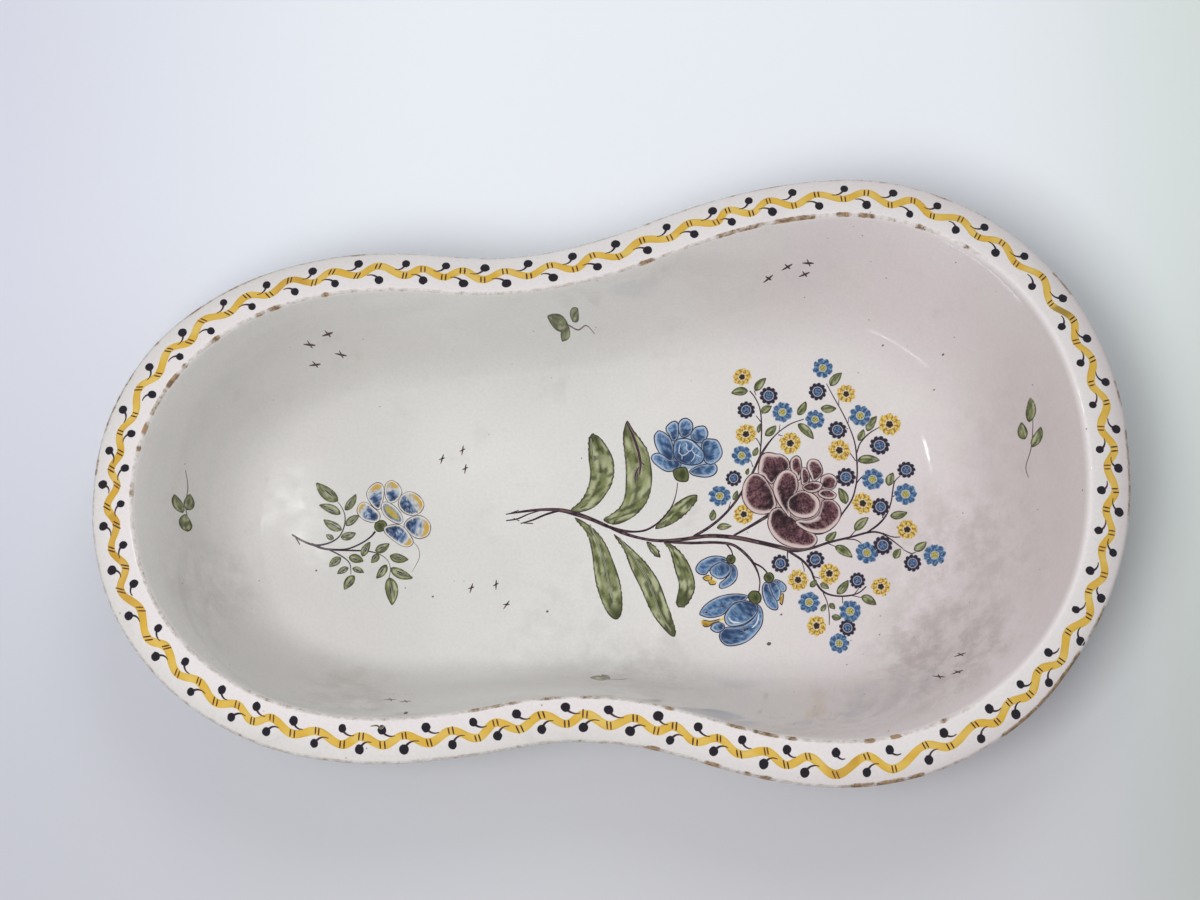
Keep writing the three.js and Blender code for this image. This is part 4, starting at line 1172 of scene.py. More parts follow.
# Bell flowers: blue petals with the point they hang from, and yellow tongues.
BELLS = [
    (110, (60.5, -28), [(42.1, -32.2), (44.3, -28.8), (48.6, -26.6), (53, -26.1), (57.4, -27.2),
                        (59.3, -29.4), (54.9, -29.4), (51.1, -30.9), (48.6, -33.4), (46.8, -35.3),
                        (43.6, -34.7)]),
    (300, (60.5, -28), [(59.9, -30.6), (62.4, -31.9), (63.5, -35), (62.7, -38.8), (59.9, -41.6),
                        (56.1, -43.1), (53.9, -42.8), (54.3, -40.6), (56.8, -38.8), (59.3, -36.3),
                        (60.2, -33.8)]),
    (250, (60.5, -28), [(49.9, -32.5), (53, -30.3), (56.8, -29.4), (59.6, -31.3), (59.9, -34.4),
                        (57.4, -37.2), (54.3, -38.1), (51.1, -36.6), (49.6, -34.7)]),
    (110, (71.8, -49), [(42.7, -55.9), (44.9, -52.5), (49.3, -49.4), (54.3, -47.5), (59.9, -46.8),
                        (64.9, -47.2), (68, -48.4), (65.5, -50.6), (61.1, -51.3), (58, -53.8),
                        (54.9, -56.9), (51.1, -58.1), (46.8, -58.1), (43.6, -56.9)]),
    (290, (52, -67), [(52.1, -68.1), (53.6, -65.6), (56.1, -64.1), (60.5, -64.4), (65.5, -63.4),
                      (69.9, -60.6), (72.4, -56.9), (72.7, -53.1), (74.6, -55), (75.3, -58.8),
                      (74.3, -63.8), (71.1, -68.1), (66.8, -71.6), (61.8, -73.4), (56.1, -73.6),
                      (53, -71.3)]),
    (225, (71.8, -49), [(55.5, -60), (55.8, -57.5), (58.6, -53.8), (61.8, -51.6), (65.5, -50.6),
                        (69.3, -51.3), (72.4, -53.1), (72.7, -56.3), (70.5, -59.4), (66.8, -61.9),
                        (62.4, -63.4), (58, -63.4), (56.1, -61.9)]),
    (200, (55, -62), [(48, -64.4), (49, -62.3), (51.8, -61.3), (54.6, -62.5), (54.3, -65), (51.1, -66.3)]),
    (190, (79.8, -39), [(77.4, -41.9), (76.1, -45), (76.4, -49.4), (78, -53.8), (81.1, -56.1),
                        (83.3, -55.6), (83, -51.9), (81.1, -48.1), (79.9, -44.4), (79.3, -42.2)]),
    (0, (79.8, -39), [(79.9, -41.9), (82.4, -41.3), (84.9, -43.8), (85.5, -46.9), (84.6, -50.6),
                      (83, -51.3), (81.1, -47.5)]),
    (0, (79.8, -39), [(83, -40.6), (86.1, -41.6), (88.3, -44.1), (88, -46.3), (86.1, -46.9),
                      (84.9, -44.4)]),
]
TONGUES = [
    [(45, -37.4), (47.2, -35.8), (50, -36.2), (50, -38.6), (47.4, -39.2)],
    [(48, -39.5), (50, -37.9), (52.4, -39), (51.6, -41.2), (49, -41.2)],
    [(42.5, -60.6), (43.6, -59.1), (48, -60), (53, -59.1), (54.9, -58.1), (55.5, -60), (53, -60.9),
     (49.3, -61.6), (47.4, -63.1), (44.9, -63.4), (43, -61.9)],
    [(84.3, -50.6), (85.5, -48.1), (87.1, -48.1), (86.8, -51.3), (85.8, -54.1), (84.6, -53.1)],
]
BELL_DOTS = [(63.6, -66.9), (65.5, -66.2), (66.8, -65.6), (54.9, -52.8), (46.1, -55.6)]
BELL_LIGHTS = [
    [(73.4, -58.2, .2), (72, -62.6, .45), (69.2, -65.2, .2)],
    [(57.2, -58.8, .2), (59.4, -61.4, .5), (63.4, -62, .2)],
]
# The small sprig in the small lobe.
SPRIG_STEMS = [
    [(-169, -1, .5), (-163, -5, .6), (-157, -7.4, .6), (-151, -7, .5), (-146, -5, .45), (-143, -2, .4),
     (-141, 3, .4), (-140.8, 8, .3), (-142.4, 12.4, .25), (-144.4, 15.2, .2)],
    [(-159, -6.6, .7), (-153, -9.4, .7), (-147, -10.4, .6), (-140, -10.4, .5), (-133, -8, .45),
     (-128, -5, .5), (-125, -2, .6)],
    [(-150, -10.2, .4), (-145, -13, .4), (-141, -16, .35), (-139, -19, .3), (-138.8, -24, .2)],
    [(-148, -10.6, .4), (-138, -11.4, .5), (-130, -12.2, .4), (-124, -14, .3), (-119.6, -17.4, .2),
     (-118, -22, .2), (-119, -27.4, .2)],
    [(-167, -2.8, .4), (-165, -6.6, .3)],
]
# Its leaves, as base, tip and half width, and its petals, of which the last is the heart.
SPRIG_LEAVES = [
    (-144, 15.6, -155, 26, 3.2), (-143, 8.4, -154, 14, 2.3), (-142.6, 0, -152, 6, 2.3),
    (-140.6, 10.4, -134.4, 18.6, 2.1), (-140.4, 2, -133, 7.2, 2.1), (-143.4, -4, -135.4, -2.2, 2.2),
    (-147, -4.6, -151, -2, 1.5), (-143.6, -15, -150, -19.4, 2.2), (-139.6, -15, -132, -17.6, 2.3),
    (-140, -20.6, -146, -23.4, 1.7), (-138, -21, -132, -23.6, 1.6), (-137, -25, -142.6, -32, 2.4),
    (-132.4, -15, -128, -7.4, 2), (-125.6, -12.4, -118, -9, 2.3), (-124, -14, -128, -18.6, 1.9),
    (-118, -15.4, -108.4, -18, 2.4), (-120, -20, -125.6, -27, 2.1), (-118, -22, -106.6, -28, 2.5),
    (-119, -27, -118, -41.6, 3.3),
]
SPRIG_PETALS = [
    [(-134, 9), (-132.6, 13), (-129.6, 13.8), (-126, 11), (-122.6, 7.4), (-123, 4), (-126, 3), (-131, 5)],
    [(-128.6, 18), (-127, 21.6), (-123, 24), (-120, 22), (-120, 17), (-121.6, 11), (-123.6, 10),
     (-126.6, 13)],
    [(-119, 20), (-118, 23.4), (-115, 24.6), (-111.6, 22), (-110.4, 18), (-113, 14), (-116.6, 13),
     (-118.6, 15.6)],
    [(-112, 13), (-110, 16.6), (-106, 18), (-101.4, 15.6), (-99, 11), (-101, 7), (-105, 5.6), (-109, 7),
     (-111.6, 10)],
    [(-109.6, 0), (-107, 3.6), (-102, 5), (-98, 3), (-96, -1), (-97.6, -5.6), (-102, -7), (-106, -5)],
    [(-119.6, 0), (-114, 1), (-110, -1), (-107, -5), (-105.6, -9), (-108, -11), (-112, -10), (-117, -6),
     (-120, -2.6)],
    [(-121.6, 10), (-121, 13), (-118, 13.6), (-114, 11), (-111, 7), (-110, 3), (-112, 1), (-116, 2.6),
     (-120, 6)],
]
SPRIG_HEART = (-119, 3)


# Tints of petals: of the margin, and the pale, main and deep ones of the wash.
ROSE_TINTS = (MANGANESE_PALE, "#8b6267", MANGANESE, MANGANESE_DEEP)
BLUE_TINTS = ("#afc0d8", COBALT_PALE, COBALT, COBALT_DEEP)
HEART_TINTS = (COBALT_PALE, COBALT_PALE, COBALT, COBALT_DEEP)
CALYX_TINTS = ("#66703f", "#6d7644", "#596038", "#373b22")
TONGUE_TINTS = (OCHRE_PALE, OCHRE, OCHRE, OCHRE_DEEP)
SPRIG_TINTS = ("#dfd9d0", "#a9bdd4", "#49699a", COBALT_DEEP)
SPRIG_HEART_TINTS = ("#dfd9d0", COBALT_PALE, "#49699a", COBALT_DEEP)


def paint_stems():
    """Twigs of the large spray and of the sprig."""
    sheet = Sheet("spray_stems", "dark_paint")
    for k, spine in enumerate(STEMS + SPRIG_STEMS):
        brush(sheet, spine, stem_shade, layer=1 + k % 2, step=0.8)
    sheet.finish()


def small_leaf(sheet, base, tip, half, seed):
    """A pointed leaf from its base to its tip, widest a little before the middle."""
    shares = np.array([0, 0.1, 0.3, 0.55, 0.8, 1])
    widths = half * np.array([0.1, 0.62, 1.02, 1.02, 0.68, 0.16])
    run = np.array(tip) - base
    bow = 0.05 * np.sin(np.pi * shares)[:, None] * (-1) ** seed * np.array([-run[1], run[0]])
    spine = np.c_[base + run * shares[:, None] + bow, widths]
    brush(sheet, spine, leaf_shade(seed, base, end_dark=0.9, edge=0.6, rib=0.8), layer=2, step=0.5)


def paint_leaves():
    """The seven long leaves with their veins, and the small leaves of the spray and the sprig."""
    sheet = Sheet("long_leaves", "green_paint")
    for k, (tip, outline) in enumerate(LONG_LEAVES):
        shade = leaf_shade(30 + k, tip, end_dark=0.8, edge=0.95, rib=0.95)
        fill(sheet, outline, shade, layer=0, along=72, teeth=0.6)
    for spine in GREEN_VEINS:
        brush(sheet, spine, ink_shade(GREEN_DEEP, cover=0.85, soft=0.3), layer=1)
    sheet.finish()
    sheet = Sheet("leaf_veins", "dark_paint")
    for x0, y0, x1, y1, half in SPRIG_LEAVES:
        dab = [
            (x0 + (x1 - x0) * share, y0 + (y1 - y0) * share, wide)
            for share, wide in ((0.25, 0.3), (0.45, 0.6), (0.66, 0.3))
        ]
        brush(sheet, dab, ink_shade(INK, cover=0.75, soft=0.35), layer=3)
    for spine in LEAF_VEINS:
        brush(sheet, np.array(spine) * (1, 1, 1.5), ink_shade(INK_BROWN, cover=0.95, soft=0.25), layer=1)
    sheet.finish()
    groups = (("spray_small_leaves", SMALL_LEAVES, 60), ("sprig_leaves", SPRIG_LEAVES, 120))
    for name, leaves, seed in groups:
        sheet = Sheet(name, "green_paint")
        for k, (x0, y0, x1, y1, half) in enumerate(leaves):
            small_leaf(sheet, (x0, y0), (x1, y1), half, seed + k)
        sheet.finish()


def paint_small_flowers():
    """The blue, the yellow and the ringed flowers round the rose."""
    for name, slot, places, shade, radius in (
        ("small_blue_flowers", "blue_paint", BLUE_FLOWERS, blue_flower, 5.7),
        ("small_yellow_flowers", "ochre_paint", YELLOW_FLOWERS, yellow_flower, 5.6),
        ("ringed_flowers", "dark_paint", RINGED_FLOWERS, ringed_flower, 4.8),
    ):
        sheet = Sheet(name, slot)
        rosettes(sheet, places, shade, radius=radius, layer=3)
        sheet.finish()


def paint_peony():
    """The blue flower: a pale ground, its petals, the heart with pale cracks, and every calyx."""
    sheet = Sheet("blue_peony", "blue_paint")
    fill(sheet, PEONY_HEART, ink_shade("#8ea6c4", cover=0.85), layer=2, grow=2.4)
    for k, (lean, low, high, outline) in enumerate(PEONY):
        shade = petal_shade(BLUE_TINTS, lean, low, high, 200 + k, PEONY_MIDDLE, line=0.85, dash=0.12)
        fill(sheet, outline, shade, layer=3 + k % 2, grow=0.6)
    heart = petal_shade(
        HEART_TINTS, lean=70, low=0.2, high=0.7, seed=215, base=(38, 26), line=0.85, dash=0.05
    )
    fill(sheet, PEONY_HEART, heart, layer=6, grow=0.4)
    for spine in PEONY_CRACKS:
        brush(sheet, spine, ink_shade("#a9bcd3", cover=0.8, soft=0.2), layer=7, step=0.6)
    sheet.finish()
    sheet = Sheet("flower_calyxes", "green_paint")
    for k, outline in enumerate(CALYXES):
        shade = petal_shade(CALYX_TINTS, lean=0, low=0.1, high=0.2, seed=230 + k, base=np.mean(outline, 0))
        fill(sheet, outline, shade, layer=7, along=24)
    sheet.finish()


def paint_rose():
    """The purple rose: a pale ground, its petals from the lowest up, and one loose arc."""
    sheet = Sheet("manganese_rose", "purple_paint")
    fill(sheet, ROSE_GROUND, ink_shade("#b79a98", cover=0.85), layer=2)
    for k, (lean, low, high, outline) in enumerate(ROSE):
        shade = petal_shade(ROSE_TINTS, lean, low, high, 260 + k, ROSE_MIDDLE, line=0.7)
        fill(sheet, outline, shade, layer=3 + k, along=52, grow=0.55)
    brush(sheet, ROSE_ARC, ink_shade(INK_BROWN, cover=0.7, soft=0.25), layer=16)
    sheet.finish()


def paint_bells():
    """The hanging bell flowers: blue petals with light strokes, yellow tongues and ink dots."""
    sheet = Sheet("bell_flowers", "blue_paint")
    for k, (lean, base, outline) in enumerate(BELLS):
        shade = petal_shade(
            BLUE_TINTS, lean, low=0.2, high=0.7, seed=300 + k, base=base, line=0.8, dash=0.2
        )
        fill(sheet, outline, shade, layer=3 + k % 4, grow=0.45)
    for spine in BELL_LIGHTS:
        brush(sheet, spine, ink_shade("#cdd5e0", cover=0.85, soft=0.25), layer=8, step=0.6)
    sheet.finish()
    sheet = Sheet("bell_tongues", "ochre_paint")
    for k, outline in enumerate(TONGUES):
        shade = petal_shade(
            TONGUE_TINTS, lean=90, low=0.1, high=0.2, seed=320 + k, base=outline[0], dash=0.9
        )
        fill(sheet, outline, shade, layer=3, along=24)
    sheet.finish()
    sheet = Sheet("bell_dots", "dark_paint")
    for x, y in BELL_DOTS:
        dot = [(x - 0.7, y, 0.4), (x, y + 0.1, 0.6), (x + 0.7, y + 0.1, 0.35)]
        brush(sheet, dot, ink_shade(INK, cover=0.9), layer=9, step=0.3)
    sheet.finish()


def sprig_shade(k, middle):
    """Petal of the sprig's flower: blue from its base to the middle, then mustard to the tip."""
    inner = petal_shade(
        SPRIG_TINTS, lean=0, low=0.6, high=0.8, seed=340 + k, base=middle, line=0.55, dash=0.3
    )

    def shade(d, u, v, x, y):
        """Colours at the points of the petal."""
        colours = inner(d, u, v, x, y)
        far = np.hypot(x - middle[0], y - middle[1])
        share = far / far.max() + 0.1 * (mottle(x, y, 3, k) - 0.5)
        inside = rise(0.8, 1.1, d)
        pale = np.exp(-(((share - 0.79) / 0.05) ** 2)) * inside
        stain(colours, "#dbd7c8", 0.7 * pale)
        stain(colours, "#c9a238", rise(0.81, 0.88, share) * inside * 0.95)
        dots = rise(0.74, 0.8, mottle(x, y, 1.7, k + 90)) * (1 - rise(0.7, 0.76, share)) * inside
        stain(colours, INK, 0.8 * dots)
        return colours

    return shade


def paint_sprig():
    """The sprig's flower: six petals round a heart that is blue at its edge and mustard inside."""
    sheet = Sheet("sprig_flower", "blue_paint")
    for k, outline in enumerate(SPRIG_PETALS[:-1]):
        fill(sheet, outline, sprig_shade(k, SPRIG_HEART), layer=3 + k, grow=0.45)
    edge_blue = petal_shade(
        SPRIG_HEART_TINTS, lean=60, low=0.6, high=0.8, seed=350, base=(-121, 3), line=0.55, dash=0.3
    )

    def heart(d, u, v, x, y):
        """Colours at the points of the heart."""
        colours = edge_blue(d, u, v, x, y)
        stain(colours, "#b9a441", 0.9 * rise(1.7, 2.5, d))
        return colours

    fill(sheet, SPRIG_PETALS[-1], heart, layer=10)
    sheet.finish()


# The border: where the berries lie, in mm round the edge from the small end's tip.
OUTER_BERRIES = [
    16, 35, 58.5, 85.5, 112, 140, 165, 191, 215, 241, 262, 281, 303, 325.5, 348, 375, 401, 421, 444.5, 472,
    499, 524, 552, 579, 609.5, 635.5, 661, 686.5, 708, 731.5, 753.5, 778.5, 804.5, 832, 856.5, 879, 908.5,
    942, 973.5, 996, 1021.5, 1044, 1063, 1086, 1106, 1128, 1151.5, 1176, 1199, 1223, 1249, 1269.5, 1295,
    1322, 1349, 1375, 1400,
]
INNER_BERRIES = [
    4.5, 25.5, 46.5, 73.5, 100.5, 125, 153, 178, 201.5, 226.5, 250.5, 271, 291.5, 314, 335.5, 361.5, 387.5,
    409, 431.5, 457.5, 485, 511, 539, 565.5, 594.5, 623.5, 647.5, 672.5, 698, 720.5, 743.5, 767, 791, 820,
    844.5, 867.5, 896, 928, 958.5, 984.5, 1009.5, 1032.5, 1052, 1074.5, 1094.5, 1117, 1138.5, 1163.5,
    1187.5, 1209, 1236, 1258.5, 1281, 1307.5, 1333, 1363.5, 1387,
]
RIBBON_HALF = 2.25  # mm
RIBBON_STEPS = 1560  # even steps of the ribbon round the edge
# Shares across the ribbon at which the points of each rib lie.
RIBBON_RIBS = np.array([-1, -0.94, -0.84, -0.65, -0.3, 0, 0.3, 0.65, 0.84, 0.94, 1])
CREST, TROUGH = 9.3, 13.9  # mm in from the edge
HIGH_CRESTS = {928: 7.0, 958.5: 6.4}  # inset of the two crests that reach out farther
OUTER_ROW, INNER_ROW = 6.9, 16.6  # insets of the berries, in mm
FEW_RIBS = (-1, -0.6, 0, 0.6, 1)  # shares across a stroke that is repeated many times
BERRY_STEPS = 14  # points round a berry
# How far the hatch strokes lean, as (distance round the edge, sideways for each mm outwards).
HATCH_LEAN = [
    (0, -0.8), (28, -0.7), (42, -0.1), (62, 0.1), (72, 0.5), (165, 0.5), (172, -0.55), (232, -0.4),
    (245, 0.05), (930, 0.1), (940, 0.5), (1012, 0.45), (1050, 0.1), (1240, 0), (1256, 0.35), (1308, 0.35),
    (1316, -0.7), (1412, -0.8),
]


def ribbon_turns():
    """The ribbon's turning points in order: a crest over each inner berry, a trough under each outer
    one, each with its own small hand-made shift."""
    draw = np.random.default_rng(11)
    turns = [(s - 0.5, CREST + draw.normal(0, 0.45)) for s in INNER_BERRIES]
    turns += [(s - 0.5, TROUGH + draw.normal(0, 0.4)) for s in OUTER_BERRIES]
    turns = sorted(turns)
    return [(s, HIGH_CRESTS.get(s + 0.5, p)) for s, p in turns]


def ribbon_line(s, turns):
    """Inset of the ribbon's middle: half a cosine from each turning point to the next."""
    at = np.array([t[0] for t in turns])
    inset = np.array([t[1] for t in turns])
    at = np.r_[at[-1] - ROUND, at, at[0] + ROUND]
    inset = np.r_[inset[-1], inset, inset[0]]
    i = np.clip(np.searchsorted(at, s) - 1, 0, len(at) - 2)
    share = (s - at[i]) / (at[i + 1] - at[i])
    return inset[i] + (inset[i + 1] - inset[i]) * (1 - np.cos(np.pi * share)) / 2


def ribbon_colour(a, b, v):
    """Mustard in clouds, with orange and green stretches and darker, streaky sides."""
    tone = mottle(a, b, 12, 8)
    colour = blend(linear("#e4c468"), linear(OCHRE), 0.35 + 0.8 * tone)
    orange = rise(1335, 1360, a) + 0.5 * (1 - rise(30, 75, a)) + rise(164, 172, a) * (1 - rise(182, 192, a))
    orange += rise(944, 947, a) * (1 - rise(958, 966, a))
    colour = blend(colour, linear("#b8862a"), 0.6 * orange * (0.6 + 0.4 * tone))
    green = rise(610, 613, a) * (1 - rise(618, 624, a))
    colour = blend(colour, linear("#8f7a34"), 0.8 * green)
    streaky = 0.25 + 0.75 * rise(0.35, 0.7, mottle(a, b * 2, 9, 9))
    colour = blend(colour, linear("#b58a2c"), 0.5 * rise(0.5, 0.9, np.abs(v)) * streaky)
    return with_cover(colour, (1 - rise(0.86, 1.0, np.abs(v))) * (0.93 + 0.07 * tone))


def paint_ribbon(turns):
    """The wavy ribbon round the rim, which takes the place of the CAD's."""
    s = ROUND * np.arange(RIBBON_STEPS) / RIBBON_STEPS
    p = ribbon_line(s, turns)
    slope = np.gradient(p, s)
    size = np.hypot(slope, 1)
    slow, quick = mottle(s, 0 * s, 30, 5) - 0.5, mottle(s, 0 * s, 7, 6) - 0.5
    half = RIBBON_HALF * (0.97 + 0.18 * slow + 0.1 * quick)[:, None]
    v = RIBBON_RIBS[None]
    a = s[:, None] - (slope / size)[:, None] * half * v
    b = p[:, None] + (1 / size)[:, None] * half * v
    sheet = Sheet("border_ribbon", "ochre_paint", on_rim)
    closing = lambda grid, more=0.0: np.concatenate([grid, grid[:1] + more])
    sink = np.repeat(np.abs(v) > 0.99, RIBBON_STEPS + 1, 0) * 1.0
    sheet.lay(closing(a, ROUND), closing(b), closing(ribbon_colour(a, b, v)), 0, sink=sink)
    ribbon = sheet.finish()
    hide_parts("ribbon_border")


def paint_hatches(turns, draw):
    """Two short strokes side by side on the ribbon at each of its turning points."""
    sheet = Sheet("border_hatches", "dark_paint", on_rim)
    where, leans = zip(*HATCH_LEAN)
    for at, inset in turns:
        lean = np.interp(at, where, leans) + draw.normal(0, 0.08)
        dark = "#4c2c20" if draw.random() < 0.65 else "#6f4626"
        for side in (-1, 1):
            x = at + side * 1.0 + draw.normal(0, 0.12)
            up, down = 1.75 + draw.normal(0, 0.2, 2)
            head, tail = (x - lean * up, inset - up, 0.42), (x + lean * down, inset + down, 0.45)
            ink = ink_shade(dark, cover=0.95, soft=0.2)
            brush(sheet, [head, (x, inset, 0.62), tail], ink, layer=2, step=0.6, across=FEW_RIBS)
    slip = [(1186, 18.5, 0.4), (1188, 17.7, 0.6), (1190, 18.9, 0.5), (1193.5, 18.6, 0.3)]
    brush(sheet, slip, ink_shade("#4f4636", cover=0.9, soft=0.3), layer=2, step=0.4)
    sheet.finish()


def paint_berries(draw):
    """Near-black berries on both sides of the ribbon, each with a comma tail that lies backwards."""
    sheet = Sheet("border_berries", "dark_paint", on_rim)
    outer, inner = (-1.5, -3.0, -3.7, -3.5), (1.5, 2.6, 3.2, 3.0)
    berries = [(s, OUTER_ROW, outer) for s in OUTER_BERRIES]
    berries += [(s, INNER_ROW, inner) for s in INNER_BERRIES]
    for at, inset, bow in berries:
        x, y = at + draw.normal(0, 0.3), inset + draw.normal(0, 0.35)
        radius = 2.4 + draw.normal(0, 0.12)
        angle = 2 * np.pi * np.arange(BERRY_STEPS) / BERRY_STEPS
        bumpy = radius * (1 + draw.normal(0, 0.03, BERRY_STEPS))
        share = np.array([1, 0.9, 0.6, 0])[:, None] + 0 * angle
        tint = with_cover(linear(BERRY) + 0 * share[..., None], rise(0, 0.1, 1 - share))
        disc = x + share * bumpy * np.cos(angle), y + share * bumpy * np.sin(angle)
        sheet.lay(*disc, tint, 2, True, share > 0.99)
        reach = 1 + draw.normal(0, 0.1)
        knots = zip((0.8, 2.3, 4.3, 6.4), bow, (0.75, 0.55, 0.42, 0.3))
        spine = [(x - back * reach, y - aside, half) for back, aside, half in knots]
        tail = ink_shade(INK_BROWN if draw.random() < 0.4 else INK, cover=0.95, soft=0.2)
        brush(sheet, spine, tail, layer=1, step=0.8, across=FEW_RIBS)
    sheet.finish()


def paint_border():
    """The whole border. Hatches and berries draw from one series of small chance shifts."""
    turns, draw = ribbon_turns(), np.random.default_rng(21)
    paint_ribbon(turns)
    paint_hatches(turns, draw)
    paint_berries(draw)


# Tiny flying marks on the walls: the middle of each.
MARKS = [
    (-152, 92), (-151, 85), (-142, 96), (-137, 89), (-77, 39), (-88, 35), (-76, 29), (-76, -35), (-63, -34),
    (-58, -45), (89, 113), (99, 117), (110, 118), (108, 114), (173, -91), (161, -102), (170, -101),
    (-118, -97), (-110, -99),
]
# Brown specks in the glaze, as x, y and half width.
SPECKS = [
    (-37, -50, 0.7), (-96.5, -38.5, 0.6), (-157, -21, 0.6), (148, 80, 0.6), (178, 70, 0.6), (173, 54, 0.5),
    (85, -59, 0.6), (77.5, -74, 1.1), (-109, -107.5, 1.0),
]
# Small leaves on the walls: base, tip, half width. Then loose tails, as spines.
WALL_LEAVES = [
    (-17, 95, -27.4, 97.4, 2.5), (-16.6, 94.4, -21, 90, 2.3), (-14.6, 96, -11.4, 100, 2.3),
    (217, 26, 218, 38, 2.3), (214.6, 18, 213.4, 27, 2.2), (217.4, 13, 222, 22, 2.3),
    (-221.4, 7, -224.4, 15.6, 2.4), (-219.6, 9, -218, 17.6, 2.2), (-219.6, -2.4, -220.4, 6.6, 2.7),
    (-8, -90.6, -16.4, -88.6, 2.0), (-6, -90, -10.4, -86.6, 1.6),
]
WALL_TAILS = [
    [(-17, 95, .3), (-12, 93.6, .3), (-7.6, 95, .25), (-3.4, 92.4, .2)],
    [(218, 37, .2), (218.6, 26, .25), (217, 13, .3), (214, 4, .25), (214.6, -2, .2)],
    [(-219, 29, .2), (-218.6, 21, .25), (-220, 11, .3), (-219, 2, .25)],
    [(-8, -90.6, .2), (-2, -91, .25), (3, -90.4, .2)],
    [(-106, -8, .15), (-103, -12, .22), (-102.5, -17, .22), (-105, -22, .2), (-107, -25, .12)],
]


def paint_wall_motifs():
    """What is scattered on the walls: tiny crossed marks, loose tails, specks and small leaves."""
    sheet = Sheet("wall_marks", "dark_paint")
    draw = np.random.default_rng(31)
    for x, y in MARKS:
        turn = draw.normal(0.1 if abs(y) > 80 else 1.2, 0.25)
        for angle, reach in ((turn, 3.3), (turn - 1.0, 1.9)):
            dx, dy = reach * math.cos(angle), reach * math.sin(angle) * 0.9
            spine = [(x - dx, y - dy, 0.2), (x, y, 0.48), (x + dx * 0.8, y + dy * 0.8, 0.24)]
            brush(sheet, spine, ink_shade(INK_BROWN, cover=0.95, soft=0.2), layer=1, step=0.5)
    for spine in WALL_TAILS:
        brush(sheet, spine, ink_shade(INK_BROWN, cover=0.7, soft=0.2), layer=1, step=0.7)
    for x, y, half in SPECKS:
        spine = [(x - half, y - 0.2, 0.4 * half), (x, y, half), (x + half, y + 0.3, 0.5 * half)]
        brush(sheet, spine, ink_shade("#4f4636", cover=0.85, soft=0.3), layer=2, step=0.3)
    sheet.finish()
    sheet = Sheet("wall_leaves", "green_paint")
    for k, (x0, y0, x1, y1, half) in enumerate(WALL_LEAVES):
        small_leaf(sheet, (x0, y0), (x1, y1), half, 400 + k)
    sheet.finish()


# Studio.
FLOOR_HALF = 12  # m
PAN = (0, 0, 0.05)  # what the lamps point at
AIR, AIR_STRENGTH = "#f2f4f8", 0.42  # light from all sides
# Lamps: name, place in m, height and width in m, power in W, and whether the glaze mirrors it.
LAMPS = [
    ("key_left", (-0.6, -0.6, 2.0), (0.95, 0.95), 24.6, False),
    ("fill_far", (0.3, 1.2, 1.7), (1.0, 1.0), 7.5, False),
    ("glint_left", (-0.335, 0.39, 1.9), (0.022, 0.022), 0.022, True),
    ("glint_right", (-0.85, 0.27, 1.9), (0.12, 0.12), 0.6, True),
    ("edge_strip", (-1.5, -1.5, 0.95), (0.05, 1.2), 1.1, True),
]


def paper_sweep(name):
    """Matt pale paper with painted shade near the pan: greyer in front than behind, lilac on the left,
    and a darker green on the right that stands in for the pan's shadow; beyond that one pale grey."""
    material, tree, shader, where = new_material(name)
    x, y, _ = add(tree, "SeparateXYZ", (), {0: where}).node.outputs
    # Painted shade: the paper darkens towards the front, and its darker green on the right is a painted
    # shadow of the pan.
    behind = add(tree, "MapRange", SMOOTH, {0: y, 1: -0.22, 2: 0.2})
    paper, lilac, green_shadow = (
        add(tree, "Mix", BLEND, {0: behind, 6: front, 7: back})
        for front, back in (("#cdcdd1", "#eff3f8"), ("#c4c5cd", "#d7d9e5"), ("#b9c1b9", "#dee6e2"))
    )
    leftwards = add(tree, "MapRange", SMOOTH, {0: x, 1: -0.05, 2: -0.4})
    paper = add(tree, "Mix", BLEND, {0: leftwards, 6: paper, 7: lilac})
    rightwards = add(tree, "MapRange", SMOOTH, {0: x, 1: 0.2, 2: 0.36})
    paper = add(tree, "Mix", BLEND, {0: rightwards, 6: paper, 7: green_shadow})
    away = add(tree, "VectorMath", {"operation": "LENGTH"}, {0: where})
    far = add(tree, "MapRange", SMOOTH, {0: away, 1: 0.45, 2: 0.9})
    paper = add(tree, "Mix", BLEND, {0: far, 6: paper, 7: "#dfe1e6"})
    tree.links.new(paper, shader.inputs["Base Color"])
    shader.inputs["Roughness"].default_value = 0.85
    return material


def lay_floor():
    """The ground under the pan: one flat square, far larger than the picture."""
    mesh = bpy.data.meshes.new("studio_floor")
    corners = [(x * FLOOR_HALF, y * FLOOR_HALF, 0) for x, y in ((-1, -1), (1, -1), (1, 1), (-1, 1))]
    mesh.from_pydata(corners, [], [(0, 1, 2, 3)])
    mesh.materials.append(paper_sweep("pale_paper_sweep"))
    floor = bpy.data.objects.new("studio_floor", mesh)
    bpy.context.collection.objects.link(floor)


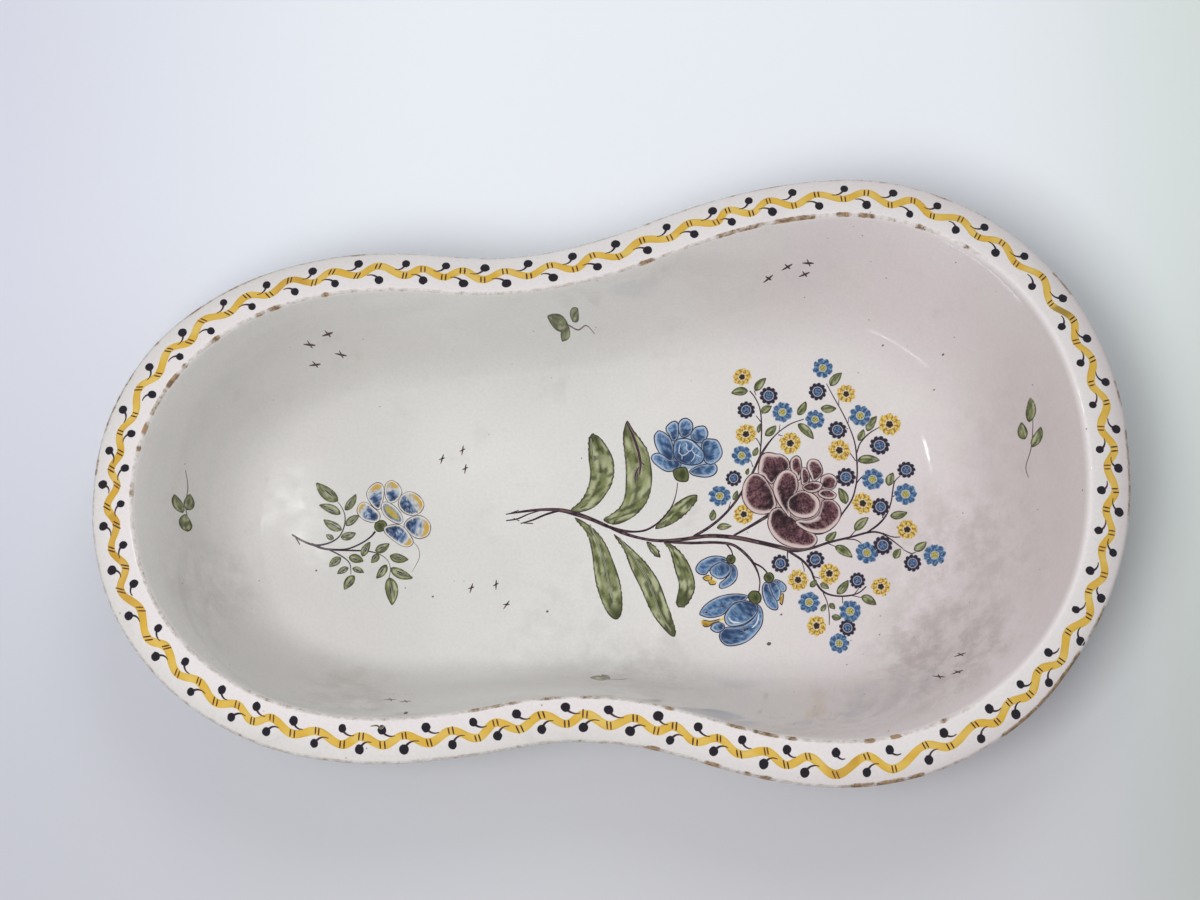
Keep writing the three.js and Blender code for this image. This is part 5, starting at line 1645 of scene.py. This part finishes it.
def fill_air():
    """Even pale light from all sides."""
    world = bpy.data.worlds.new("soft_studio")
    bpy.context.scene.world = world
    world.use_nodes = True
    background = world.node_tree.nodes["Background"]
    background.inputs["Color"].default_value = rgba(AIR)
    background.inputs["Strength"].default_value = AIR_STRENGTH


def softbox(name, place, size, power, mirrored):
    """Soft light of the given height and width that points from its place to the pan; it shows in
    the gloss of the glaze only where mirrored."""
    light = bpy.data.lights.new(name, "AREA")
    light.shape, light.size, light.size_y, light.energy = "RECTANGLE", *size, power
    lamp = bpy.data.objects.new(name, light)
    bpy.context.collection.objects.link(lamp)
    away = np.array(place, float) - np.array(PAN, float)
    lamp.location = place
    yaw, tilt = math.atan2(away[1], away[0]), math.acos(away[2] / np.linalg.norm(away))
    lamp.rotation_euler = (0, tilt, yaw)
    lamp.visible_glossy = mirrored


# Camera.
ELEVATION, AZIMUTH, ROLL = math.radians(78), math.radians(1.5), math.radians(-4.9)
LENS, SENSOR = 100, 36  # mm
DISTANCE = 1.690  # m
TARGET = np.array([-0.0041, 0.0197, 0.078])


def aim_camera():
    """A long lens that looks steeply down at the pan, a little turned and rolled."""
    data = bpy.data.cameras.new("camera")
    data.lens, data.sensor_width = LENS, SENSOR
    camera = bpy.data.objects.new("camera", data)
    bpy.context.collection.objects.link(camera)
    aside, outward, up_share = math.sin(AZIMUTH), -math.cos(AZIMUTH), math.sin(ELEVATION)
    back = np.array([aside * math.cos(ELEVATION), outward * math.cos(ELEVATION), up_share])
    right = np.cross(-back, (0, 0, 1))
    right /= np.linalg.norm(right)
    up = np.cross(right, -back)
    turned_right = math.cos(ROLL) * right + math.sin(ROLL) * up
    turned_up = -math.sin(ROLL) * right + math.cos(ROLL) * up
    place = TARGET + DISTANCE * back
    rows = [[turned_right[i], turned_up[i], back[i], place[i]] for i in range(3)] + [[0, 0, 0, 1]]
    camera.matrix_world = [list(column) for column in zip(*rows)]
    bpy.context.scene.camera = camera


build_pan()
paint_stems()
paint_leaves()
paint_small_flowers()
paint_peony()
paint_rose()
paint_bells()
paint_sprig()
paint_border()
paint_wall_motifs()
lay_floor()
fill_air()
for lamp in LAMPS:
    softbox(*lamp)
aim_camera()
bpy.context.scene.view_settings.view_transform = "Standard"
